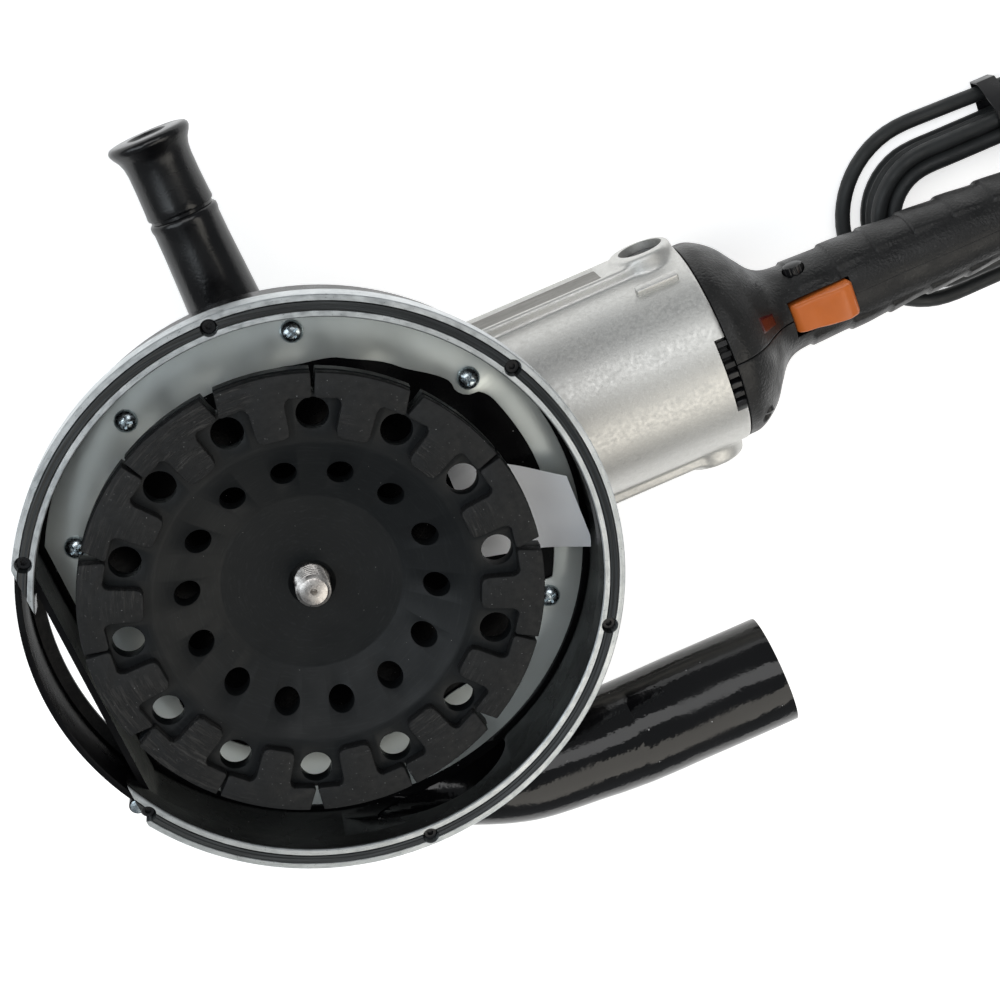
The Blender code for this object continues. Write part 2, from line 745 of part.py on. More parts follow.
def grip_rings(inset, start, end):
    """Cross-sections of the rear handle: a bell over the motor's end, a neck and an oval grip."""
    bell = MOTOR_RADIUS - 0.0006
    stations = [
        (MOTOR_END + GAP, bell, bell),
        (0.200, 0.0442, 0.0442),
        (0.206, 0.0410, 0.0410),
        (0.211, 0.0366, 0.0366),
        (0.216, 0.0298, 0.0302),
        (0.221, 0.0234, 0.0248),
        (0.226, 0.0200, 0.0222),
        (0.233, 0.0188, 0.0210),
        (0.252, 0.0192, 0.0206),
        (0.266, 0.0195, 0.0206),
        (0.284, 0.0186, 0.0194),
        (0.305, 0.0184, 0.0198),
        (0.345, 0.0172, 0.0188),
        (HANDLE_END - 0.016, 0.0180, 0.0200),
        (HANDLE_END - 0.004, 0.0185, 0.0205),
        (HANDLE_END, 0.0165, 0.0185),
    ]
    rings = []
    for x, half_y, half_z in stations:
        x = min(max(x, start), end)
        ring = []
        for i in range(16):
            angle = (i + 0.5) * math.tau / 16
            y = (half_y - inset) * math.cos(angle)
            z = (half_z - inset) * math.sin(angle)
            ring.append((x, y, MOTOR_Z + z))
        rings.append(ring)
    return rings


def handle_shells():
    """The two halves of the rear handle, split upright along the motor axis."""
    inside_rings = grip_rings(WALL, 0, HANDLE_END - WALL)
    front = [(x - 0.01, y, z) for x, y, z in inside_rings[0]]
    for word, side in (("left", 1), ("right", -1)):
        shell = loft(f"handle_shell_{word}", grip_rings(0, 0, 1), BLACK)
        inside = loft(f"shell_inside_{word}", [front, *inside_rings[1:]], None)
        far = side * -0.08
        near = side * GAP / 2
        low, high = sorted((far, near))
        other = box(f"shell_split_{word}", (0.18, low, -0.02), (HANDLE_END + 0.05, high, 0.12), None)
        slot = box(
            f"trigger_slot_{word}",
            (SLOT_START, -TRIGGER_HALF - RUN, MOTOR_Z + 0.008),
            (SLOT_END, TRIGGER_HALF + RUN, MOTOR_Z + 0.04),
            None,
        )
        hole = cylinder(
            f"guard_hole_{word}", 0.0083, HANDLE_END - 0.01, HANDLE_END + 0.01, None, (0, 0, MOTOR_Z), "X"
        )
        cut(shell, inside, other, slot, hole)
        if side > 0:
            spot = (BUTTON_X, 0, BUTTON_Z)
            cut(shell, cylinder("button_hole", BUTTON_RADIUS + RUN, 0.010, 0.03, None, spot, "Y", 16))


def controls():
    """The switch, its paddle trigger, the lock-on button and the two screws of the handle."""
    box("switch_block", (0.232, -0.009, MOTOR_Z - 0.011), (0.281, 0.009, MOTOR_Z + 0.0078), GREY)
    outline = [
        (SLOT_START + RUN, MOTOR_Z + 0.0125),
        (SLOT_END - RUN, MOTOR_Z + 0.0125),
        (SLOT_END - RUN, MOTOR_Z + 0.0225),
        (SLOT_END - 0.0035, MOTOR_Z + 0.0275),
        (SLOT_END - 0.0080, MOTOR_Z + 0.0280),
        (SLOT_START + 0.0040, MOTOR_Z + 0.0240),
        (SLOT_START + RUN, MOTOR_Z + 0.0222),
    ]
    trigger = prism("trigger", [outline], -TRIGGER_HALF, TRIGGER_HALF, ORANGE, "XZ")
    soften(trigger, 0.0008, 1)
    spot = (BUTTON_X, 0, BUTTON_Z)
    cylinder("lock_on_button", BUTTON_RADIUS, 0.0120, 0.0202, BLACK, spot, "Y", 16)


def side_handle():
    """The screw-in side handle and its stud."""
    spot = (SIDE_X, 0, MOTOR_Z)
    base = 0.0435
    profile = [
        (0, SIDE_END),
        (0.0150, SIDE_END),
        (0.0174, SIDE_END - 0.0015),
        (0.0170, SIDE_END - 0.0040),
        (0.0138, SIDE_END - 0.0110),
        (0.0138, SIDE_END - 0.0300),
        (0.0144, SIDE_END - 0.0310),
        (0.0144, SIDE_END - 0.0350),
        (0.0136, SIDE_END - 0.0365),
        (0.0150, SIDE_END - 0.0550),
        (0.0164, 0.0800),
        (0.0164, 0.0560),
        (0.0150, 0.0520),
        (0.0150, base),
        (0, base),
    ]
    grip = turned("side_handle_grip", profile, GLOSS, spot, "Y", 24)
    cut(grip, cylinder("stud_socket", STUD_RADIUS + GAP, 0.04, 0.0885, None, spot, "Y"))
    cylinder("side_handle_stud", STUD_RADIUS, 0.0308, 0.088, STEEL, spot, "Y")


def hood_outline(radius, chord):
    """A circle about the hood's centre, cut straight across the front."""
    angle = math.acos((chord - HOOD_X) / radius)
    return arc((HOOD_X, 0), radius, -angle, angle, 44)


def pivot_spot():
    """Where the edge door turns."""
    x = HOOD_X + PIVOT_RADIUS * math.cos(PIVOT_ANGLE)
    return (x, PIVOT_RADIUS * math.sin(PIVOT_ANGLE), 0)


def duct_rings(inset, start_back):
    """Cross-sections of the tangential dust duct, from inside the hood to the end of the pipe."""
    stations = [
        ((-0.030 - start_back, 0.0240 - HOOD_RADIUS, 0.1185), 0.0160),
        ((0.010, 0.0050 - HOOD_RADIUS, 0.1185), 0.0170),
        ((0.045, -0.0080 - HOOD_RADIUS, 0.1165), 0.0200),
        ((0.080, -0.0135 - HOOD_RADIUS, 0.1095), 0.0228),
        ((0.096, PORT_Y, PORT_Z), PORT_RADIUS),
        ((PORT_END, PORT_Y, PORT_Z), PORT_RADIUS),
    ]
    rings = []
    for i, (centre, radius) in enumerate(stations):
        before = Vector(stations[max(i - 1, 0)][0])
        after = Vector(stations[min(i + 1, len(stations) - 1)][0])
        straight = i >= len(stations) - 2
        forward = Vector((1, 0, 0)) if straight else (after - before).normalized()
        across = forward.cross(Vector((0, 0, 1))).normalized()
        up = across.cross(forward)
        ring = []
        for k in range(16):
            angle = k * math.tau / 16
            offset = across * math.cos(angle) + up * math.sin(angle)
            ring.append(Vector(centre) + offset * (radius - inset))
        rings.append(ring)
    return rings


def duct_bore(name):
    """The hollow of the duct, longer than the duct at both ends."""
    rings = duct_rings(PORT_WALL, 0.004)
    last = [point + Vector((0.01, 0, 0)) for point in rings[-1]]
    return loft(name, [*rings[:-1], last], None)


def dust_hood():
    """The hood's body, the duct and pipe on it, and the bright liner that its screws hold."""
    top = RIM_BASE - GAP
    floor = HOOD_BACK + BACK_PLATE
    hood = prism("hood_body", [hood_outline(HOOD_RADIUS, CHORD_X)], HOOD_BACK, top, GLOSS)
    inside = hood_outline(HOOD_RADIUS - HOOD_WALL, CHORD_X + HOOD_WALL)
    pivot = pivot_spot()
    ear = cylinder("door_ear", 0.005, HOOD_BACK, floor, None, pivot)
    bridge = box("ear_bridge", (pivot[0], pivot[1], HOOD_BACK), (-0.085, pivot[1] + 0.006, floor), None)
    cut(hood, prism("hood_inside", [inside], floor, top + 0.01, None))
    join(hood, ear, bridge)
    cut(hood, cylinder("pin_hole_hood", PIN_RADIUS + GAP, HOOD_BACK - 0.01, floor + 0.01, None, pivot, sides=12))
    cut(hood, cylinder("neck_hole", HOOD_HOLE, HOOD_BACK - 0.01, floor + 0.01, None, sides=ROUND))
    bore = duct_bore("duct_bore_hood")
    cut(bore, box("bore_floor", (-HOOD_RADIUS, -HOOD_RADIUS - PORT_RADIUS, 0), (PORT_END, 0, floor), None))
    cut(hood, bore)

    duct = loft("dust_port", duct_rings(0, 0), GLOSS)
    cut(duct, duct_bore("duct_bore"))
    keep_out = cylinder("hood_clearance", HOOD_RADIUS + GAP, 0, 0.2, None, (HOOD_X, 0, 0), sides=88)
    cut(duct, keep_out)

    low = floor + GAP
    liner_high = low + LINER_THICK
    hole = arc((0, 0), LINER_HOLE, 0, math.tau * 47 / 48, 47)
    outline = hood_outline(HOOD_RADIUS - HOOD_WALL - 0.0045, CHORD_X + 0.0045)
    liner = prism("hood_liner", [outline, hole], low, liner_high, METAL)
    for i, degrees in enumerate(SCREW_ANGLES):
        angle = math.radians(degrees)
        spot = (HOOD_X + SCREW_CIRCLE * math.cos(angle), SCREW_CIRCLE * math.sin(angle), 0)
        shank = SCREW_SHANK + GAP
        cut(liner, cylinder(f"liner_hole_{i}", shank, low - 0.005, liner_high + 0.005, None, spot, sides=8))
        cut(hood, cylinder(f"hood_hole_{i}", shank, floor - 0.0025, floor + 0.005, None, spot, sides=8))
        seat = liner_high + GAP
        steps = [(SCREW_HEAD * 0.7, seat + 0.0016, seat + 0.0028), (SCREW_HEAD, seat, seat + 0.0016)]
        steps.append((SCREW_SHANK, floor - 0.002, seat))
        turned(f"liner_screw_{i + 1}", rod_profile(steps), STEEL, spot, sides=14)


def hood_rim():
    """The open ring on the hood's edge, with the brush strip in its groove."""
    width, depth = GROOVE
    middle = RIM_RADIUS - RIM_WIDTH / 2
    outer = middle + width / 2
    inner = middle - width / 2
    profile = [
        (RIM_RADIUS, RIM_TOP),
        (RIM_RADIUS, RIM_BASE),
        (RIM_RADIUS - RIM_WIDTH, RIM_BASE),
        (RIM_RADIUS - RIM_WIDTH, RIM_TOP),
        (inner, RIM_TOP),
        (inner, RIM_TOP - depth),
        (outer, RIM_TOP - depth),
        (outer, RIM_TOP),
    ]
    rim = turned("hood_rim", profile, METAL, (HOOD_X, 0, 0), sides=48, ring=True)
    strip = ring_profile(outer - GAP, inner + GAP, RIM_TOP - depth + GAP, RIM_TOP + BRUSH_PROUD)
    brush = turned("brush_strip", strip, RUBBER, (HOOD_X, 0, 0), sides=48, ring=True)
    for obj in (rim, brush):
        name = obj.name + "_opening"
        cut(obj, box(name, (-0.13, -0.08, 0.13), (CHORD_X - 0.002, 0.08, 0.16), None))


def hood_clamp():
    """The split ring that holds the hood on the gear head's neck, with its screw ears."""
    low = HOOD_BACK - 0.0138
    high = HOOD_BACK - GAP
    bore = NECK_RADIUS + GAP
    ring = turned("hood_clamp", ring_profile(bore + 0.0055, bore, low, high), METAL, ring=True)
    ears = box("clamp_ears", (-0.046, -0.006, low), (-bore - 0.001, 0.006, high), None)
    slot = box("clamp_slot", (-0.05, -0.001, low - 0.01), (-0.02, 0.001, high + 0.01), None)
    spot = (-0.0405, 0, (low + high) / 2)
    hole = cylinder("clamp_hole", 0.0025 + GAP, -0.02, 0.02, None, spot, "Y", 12)
    join(ring, ears)
    cut(ring, slot, hole)
    steps = [(0.0045, 0.0063, 0.0110), (0.0025, -0.0090, 0.0063)]
    turned("clamp_screw", rod_profile(steps), STEEL, spot, "Y", 14)


def edge_door():
    """The curved door over the hood's flat front, and the pin it turns on."""
    low = HOOD_BACK + BACK_PLATE + GAP
    start = -PIVOT_ANGLE
    end = math.tau + PIVOT_ANGLE
    centre = (HOOD_X, 0)
    outline = arc(centre, DOOR_RADIUS, start, end, 24)
    outline += arc(centre, DOOR_RADIUS - DOOR_WALL, end, start, 24)
    door = prism("edge_door", [outline], low, DOOR_TOP, GLOSS)
    inner = DOOR_RADIUS - DOOR_WALL
    outline = arc(centre, inner + 0.0005, start, end, 24) + arc(centre, inner - DOOR_LIP, end, start, 24)
    lip = prism("door_lip", [outline], low, low + LIP_THICK, None)
    cut(lip, box("lip_trim", (CHORD_X - RUN, -DOOR_RADIUS, 0), (0, DOOR_RADIUS, DOOR_TOP), None))
    join(door, lip)
    pivot = pivot_spot()
    join(door, cylinder("door_barrel", BARREL_RADIUS, low, DOOR_TOP, None, pivot, sides=16))
    cut(door, cylinder("door_bore", PIN_RADIUS + GAP, low - 0.01, DOOR_TOP + 0.01, None, pivot, sides=12))
    steps = [(0.0030, DOOR_TOP + GAP, DOOR_TOP + 0.0012), (PIN_RADIUS, HOOD_BACK, DOOR_TOP + GAP)]
    turned("door_pin", rod_profile(steps), STEEL, pivot, sides=12)


def lead():
    """The bend guard, the mains lead with its hank, and the plug."""
    guard = [
        (0, GUARD_END),
        (0.0048, GUARD_END),
        (0.0062, GUARD_END - 0.020),
        (0.0082, HANDLE_END + 0.0035),
        (0.0110, HANDLE_END + 0.0030),
        (0.0110, HANDLE_END + GAP),
        (0.0079, HANDLE_END + GAP),
        (0.0079, HANDLE_END - WALL - 0.0006),
        (0.0105, HANDLE_END - WALL - 0.0006),
        (0.0105, HANDLE_END - WALL - 0.0046),
        (0, HANDLE_END - WALL - 0.0046),
    ]
    turned("cord_guard", guard, RUBBER, (0, 0, MOTOR_Z), "X", SMALL)

    x, y = HANK_CENTRE
    half = HANK_RUN / 2
    outer = arc((x + half, y), HANK_OUTER, -math.pi / 2, math.pi / 2, 14)
    outer += arc((x - half, y), HANK_OUTER, math.pi / 2, 3 * math.pi / 2, 14)
    inner_radius = HANK_OUTER - HANK_WIDTH
    inner = arc((x + half, y), inner_radius, -math.pi / 2, math.pi / 2, 10)
    inner += arc((x - half, y), inner_radius, math.pi / 2, 3 * math.pi / 2, 10)
    prism("cord_hank", [outer, inner], 0, HANK_HEIGHT, RUBBER)

    rest = CORD_RADIUS + 0.0001
    route = [
        (GUARD_END + GAP, 0, MOTOR_Z),
        (0.462, 0, MOTOR_Z - 0.0005),
        (0.485, -0.001, 0.0415),
        (0.508, -0.006, 0.027),
        (0.526, -0.018, 0.011),
        (0.533, -0.036, rest + 0.0005),
        (0.526, -0.060, rest),
        (0.508, -0.071, rest),
        (0.490, -0.064, rest),
        (0.474, -0.048, rest),
        (0.4605, -0.0385, rest),
    ]
    tube("cord_lead", smooth_route(route, 0.009), CORD_RADIUS, RUBBER)
    route = [
        (0.4605, PLUG_Y, rest),
        (0.468, PLUG_Y, rest + 0.0003),
        (0.480, PLUG_Y, 0.0080),
        (0.490, PLUG_Y, 0.0145),
        (0.498, PLUG_Y, 0.0178),
        (PLUG_X - 0.0010, PLUG_Y, PLUG_RADIUS),
    ]
    tube("cord_tail", smooth_route(route, 0.009), CORD_RADIUS, RUBBER)


def mains_plug():
    """A round two-pin plug, moulded on the lead."""
    spot = (PLUG_X, PLUG_Y, PLUG_RADIUS)
    body = [
        (0, 0.052),
        (PLUG_RADIUS, 0.052),
        (PLUG_RADIUS, 0.036),
        (0.0150, 0.030),
        (0.0130, 0.018),
        (0.0075, 0.010),
        (0.0055, 0),
        (0, 0),
    ]
    plug = turned("mains_plug", body, RUBBER, spot, "X", 24)
    for side in (-1, 1):
        pin_spot = (PLUG_X, PLUG_Y + side * 0.0095, PLUG_RADIUS)
        steps = [(0.0024, 0.050, 0.071)]
        join(plug, turned(f"plug_pin_{side}", rod_profile(steps), None, pin_spot, "X", 10))


def smooth_round_parts():
    """Shades the round surfaces smooth, and keeps the real edges sharp."""
    for obj in PARTS.objects:
        if obj.type == "MESH" and obj.data.polygons:
            obj.data.shade_smooth()
            obj.data.set_sharp_from_angle(angle=math.radians(35))


cup_wheel()
diamond_ring()
spindle()
wheel_flange()
bevel_gears()
bearings()
bearing_flange()
gear_housing()
spindle_lock()
motor_housing()
motor_inside()
brush_gear()
armature()
handle_shells()
controls()
side_handle()
dust_hood()
hood_rim()
hood_clamp()
edge_door()
lead()
mains_plug()
smooth_round_parts()
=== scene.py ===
"""Looks of the concrete-grinding angle grinder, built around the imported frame. Lengths are metres.

The tool lies on its back with the wheel up. The spindle is the Z axis, and the motor's axis runs along +X.
Each visible piece is built by its own function and stands for the CAD nodes that it names.
"""

import math

import bmesh
import bpy
from mathutils import Matrix, Vector, noise


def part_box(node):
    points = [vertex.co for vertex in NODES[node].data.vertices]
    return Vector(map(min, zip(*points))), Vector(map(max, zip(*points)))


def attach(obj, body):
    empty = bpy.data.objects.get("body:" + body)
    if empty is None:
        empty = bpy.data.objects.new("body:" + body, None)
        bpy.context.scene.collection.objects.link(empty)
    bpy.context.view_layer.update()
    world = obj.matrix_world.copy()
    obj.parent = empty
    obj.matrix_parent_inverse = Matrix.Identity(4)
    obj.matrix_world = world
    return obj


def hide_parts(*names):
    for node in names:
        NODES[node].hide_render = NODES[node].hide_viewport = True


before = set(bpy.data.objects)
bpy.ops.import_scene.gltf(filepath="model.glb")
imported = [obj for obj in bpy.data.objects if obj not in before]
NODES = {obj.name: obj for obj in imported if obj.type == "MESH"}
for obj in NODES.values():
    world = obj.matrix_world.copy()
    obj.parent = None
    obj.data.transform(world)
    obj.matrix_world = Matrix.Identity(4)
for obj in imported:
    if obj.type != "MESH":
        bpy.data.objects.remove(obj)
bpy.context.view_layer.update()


def low(node):
    """Lowest corner of a CAD node."""
    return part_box(node)[0]


def high(node):
    """Highest corner of a CAD node."""
    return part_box(node)[1]


# Levels and sizes read from the frame
FACE_Z = high("diamond_ring").z
STEP_Z = high("cup_wheel").z
WHEEL_BACK = low("cup_wheel").z
WHEEL_RADIUS = high("cup_wheel").x
TIP_Z = high("spindle").z
MOTOR_Z = (low("motor_shaft").z + high("motor_shaft").z) / 2
MOTOR_START = low("motor_housing").x
MOTOR_END = high("motor_housing").x
HANDLE_START = low("handle_shell_left").x
HANDLE_END = high("handle_shell_left").x
HOOD_BACK = low("hood_body").z
HOOD_TOP = high("hood_body").z
RIM_BASE = low("hood_rim").z
RIM_TOP = high("hood_rim").z
RIM_RADIUS = high("hood_rim").y
HOOD_X = high("hood_rim").x - RIM_RADIUS
CHORD_X = -0.095
LINER_LOW = low("hood_liner").z
LINER_HIGH = high("hood_liner").z
DOOR_LOW = low("edge_door").z
DOOR_TOP = high("edge_door").z
PORT_END = high("dust_port").x
HEAD_TOP = high("gear_housing").z
HEAD_RADIUS = -low("gear_housing").x
LOCK_Z = (low("spindle_lock").z + high("spindle_lock").z) / 2
SIDE_END = high("side_handle_grip").y
SIDE_START = low("side_handle_grip").y
SIDE_X = (low("side_handle_grip").x + high("side_handle_grip").x) / 2
GUARD_END = high("cord_guard").x
GAP = 0.0003

# Wheel
HUB_RADIUS = 0.036
HUB_Z = STEP_Z - 0.0145
WHEEL_HOLES = 14
FIRST_HOLE = math.radians(15.6)
HOLE_PITCH = math.tau / WHEEL_HOLES
SPINDLE_RADIUS = 0.007
THREAD_PITCH = 0.002

# Hood
HOOD_RADIUS = 0.113
HOOD_WALL = 0.0025
SCREW_CIRCLE = 0.096
SCREW_ANGLES = (151, 117.5, 73, 29, -33.5)
PIVOT_ANGLE = math.radians(-152.5)
PIVOT_RADIUS = 0.1175
DOOR_RADIUS = 0.117
DOOR_WALL = 0.0025
LIP_WIDTH = 0.005
LIP_THICK = 0.0015
PORT_Y = -0.1285
PORT_Z = 0.1068
PORT_WALL = 0.003
PIPE_START = 0.0945
RIM_WIDTH = 0.0085
RIM_SCREWS = 6
FIRST_RIM_SCREW = 28.5

# Motor and handle
MOTOR_RADIUS = 0.0453
BRUSH_X = 0.180
RAIL_REACH = 0.049
BOSS_REACH = 0.051
BUTTON_X = 0.238
BUTTON_Z = MOTOR_Z + 0.008

# Lead
CORD_RADIUS = 0.0035
HANK_CENTRE = (0.377, 0.002)
HANK_RUN = 0.114
HANK_COLUMNS = (0.0425, 0.0305, 0.0235)
ROUTE_STEP = 0.004
PLUG_X = low("mains_plug").x
PLUG_Y = 0.043
PLUG_RADIUS = 0.0185


# ---------------------------------------------------------------- shapes


def object_of(name, shape):
    """Puts a bmesh in the scene as an object, with its faces pointing out."""
    bmesh.ops.recalc_face_normals(shape, faces=shape.faces)
    mesh = bpy.data.meshes.new(name)
    shape.to_mesh(mesh)
    shape.free()
    obj = bpy.data.objects.new(name, mesh)
    bpy.context.scene.collection.objects.link(obj)
    return obj


TURN = {
    "X": Matrix.Rotation(math.pi / 2, 4, "Y"),
    "Y": Matrix.Rotation(-math.pi / 2, 4, "X"),
    "Z": Matrix.Identity(4),
}


def lathe(name, profile, sides=96, ring=False, axis="Z", centre=(0, 0, 0)):
    """A turned shape from (radius, height) points. A ring's profile closes on itself."""
    shape = bmesh.new()
    rows = []
    for radius, height in profile:
        if radius < 1e-6:
            rows.append([shape.verts.new((0, 0, height))])
            continue
        row = []
        for i in range(sides):
            angle = i * math.tau / sides
            row.append(shape.verts.new((radius * math.cos(angle), radius * math.sin(angle), height)))
        rows.append(row)
    pairs = list(zip(rows, rows[1:]))
    if ring:
        pairs.append((rows[-1], rows[0]))
    for first, second in pairs:
        for i in range(sides):
            j = (i + 1) % sides
            if len(first) == 1:
                shape.faces.new((first[0], second[i], second[j]))
            elif len(second) == 1:
                shape.faces.new((first[i], second[0], first[j]))
            else:
                shape.faces.new((first[i], second[i], second[j], first[j]))
    shape.transform(Matrix.Translation(centre) @ TURN[axis])
    return object_of(name, shape)


def rod(name, radius, start, end, axis="Z", centre=(0, 0, 0), sides=32):
    """A plain cylinder between two heights."""
    profile = [(0, end), (radius, end), (radius, start), (0, start)]
    return lathe(name, profile, sides, axis=axis, centre=centre)


def block(name, corner, far):
    """A block between two corners."""
    shape = bmesh.new()
    bmesh.ops.create_cube(shape, size=1)
    for vert in shape.verts:
        vert.co = Vector(corner[i] if vert.co[i] < 0 else far[i] for i in range(3))
    return object_of(name, shape)


def skin(name, rings, closed=False):
    """A solid through rings of equal count, capped at its ends or closed on itself."""
    shape = bmesh.new()
    rows = [[shape.verts.new(point) for point in ring] for ring in rings]
    pairs = list(zip(rows, rows[1:]))
    if closed:
        pairs.append((rows[-1], rows[0]))
    count = len(rows[0])
    for first, second in pairs:
        for i in range(count):
            j = (i + 1) % count
            shape.faces.new((first[i], first[j], second[j], second[i]))
    if not closed:
        shape.faces.new(rows[0][::-1])
        shape.faces.new(rows[-1])
    return object_of(name, shape)


def levels(*steps):
    """Rings from outlines, each at its own height."""
    return [[(x, y, height) for x, y in outline] for outline, height in steps]


def slab(name, outline, bottom, top):
    """A flat outline made thick up Z."""
    return skin(name, levels((outline, bottom), (outline, top)))


def plate_with_hole(name, outer, inner, bottom, top):
    """A flat ring between two outlines of equal count."""
    rings = levels((outer, bottom), (outer, top), (inner, top), (inner, bottom))
    return skin(name, rings, closed=True)


def sheet(name, rows, thickness):
    """A thin sheet through rows of points, made thick to one side of them."""
    shape = bmesh.new()
    made = [[shape.verts.new(point) for point in row] for row in rows]
    for first, second in zip(made, made[1:]):
        for k in range(len(first) - 1):
            shape.faces.new((first[k], first[k + 1], second[k + 1], second[k]))
    obj = object_of(name, shape)
    thick = obj.modifiers.new("thick", "SOLIDIFY")
    thick.thickness = thickness
    thick.offset = -1
    return settle(obj)


def arc(centre, radius, start, end, count):
    """Points along a circular arc, ends included."""
    found = []
    for i in range(count + 1):
        angle = start + (end - start) * i / count
        found.append((centre[0] + radius * math.cos(angle), centre[1] + radius * math.sin(angle)))
    return found


def hood_outline(radius, chord, count=200):
    """A circle about the hood's centre, cut straight across the front."""
    angle = math.acos((chord - HOOD_X) / radius)
    return arc((HOOD_X, 0), radius, -angle, angle, count)


def settle(obj):
    """Turns an object's modifiers into its mesh."""
    graph = bpy.context.evaluated_depsgraph_get()
    mesh = bpy.data.meshes.new_from_object(obj.evaluated_get(graph))
    obj.modifiers.clear()
    obj.data = mesh
    return obj


def combine(obj, how, others):
    """Cuts or joins other shapes with an object, and removes them."""
    for other in others:
        boolean = obj.modifiers.new(how.lower(), "BOOLEAN")
        boolean.operation = how
        boolean.object = other
    settle(obj)
    for other in others:
        bpy.data.objects.remove(other)
    return obj


def cut(obj, *others):
    """Takes the other shapes away."""
    return combine(obj, "DIFFERENCE", others)


def join(obj, *others):
    """Adds the other shapes."""
    return combine(obj, "UNION", others)


def soften(obj, width, segments=2, angle=40):
    """Rounds the sharp edges."""
    bevel = obj.modifiers.new("round", "BEVEL")
    bevel.width = width
    bevel.segments = segments
    bevel.limit_method = "ANGLE"
    bevel.angle_limit = math.radians(angle)
    return settle(obj)


def melt(obj, voxel, rounds):
    """Gives a joined shape the soft edges and fillets of a casting or moulding."""
    remesh = obj.modifiers.new("remesh", "REMESH")
    remesh.mode = "VOXEL"
    remesh.voxel_size = voxel
    smooth = obj.modifiers.new("smooth", "SMOOTH")
    smooth.factor = 0.5
    smooth.iterations = rounds
    return settle(obj)


def merged(name, objects):
    """Several separate bodies as one piece."""
    shape = bmesh.new()
    for obj in objects:
        shape.from_mesh(obj.data)
        bpy.data.objects.remove(obj)
    return object_of(name, shape)


def dress(obj, look, body, *nodes, sharp=38):
    """Gives a finished piece its material, shading, body and the nodes that it stands for."""
    obj.data.materials.clear()
    obj.data.materials.append(look)
    if obj.type == "MESH":
        obj.data.shade_smooth()
        obj.data.set_sharp_from_angle(angle=math.radians(sharp))
    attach(obj, body)
    if nodes:
        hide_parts(*nodes)
    return obj


# ---------------------------------------------------------------- materials


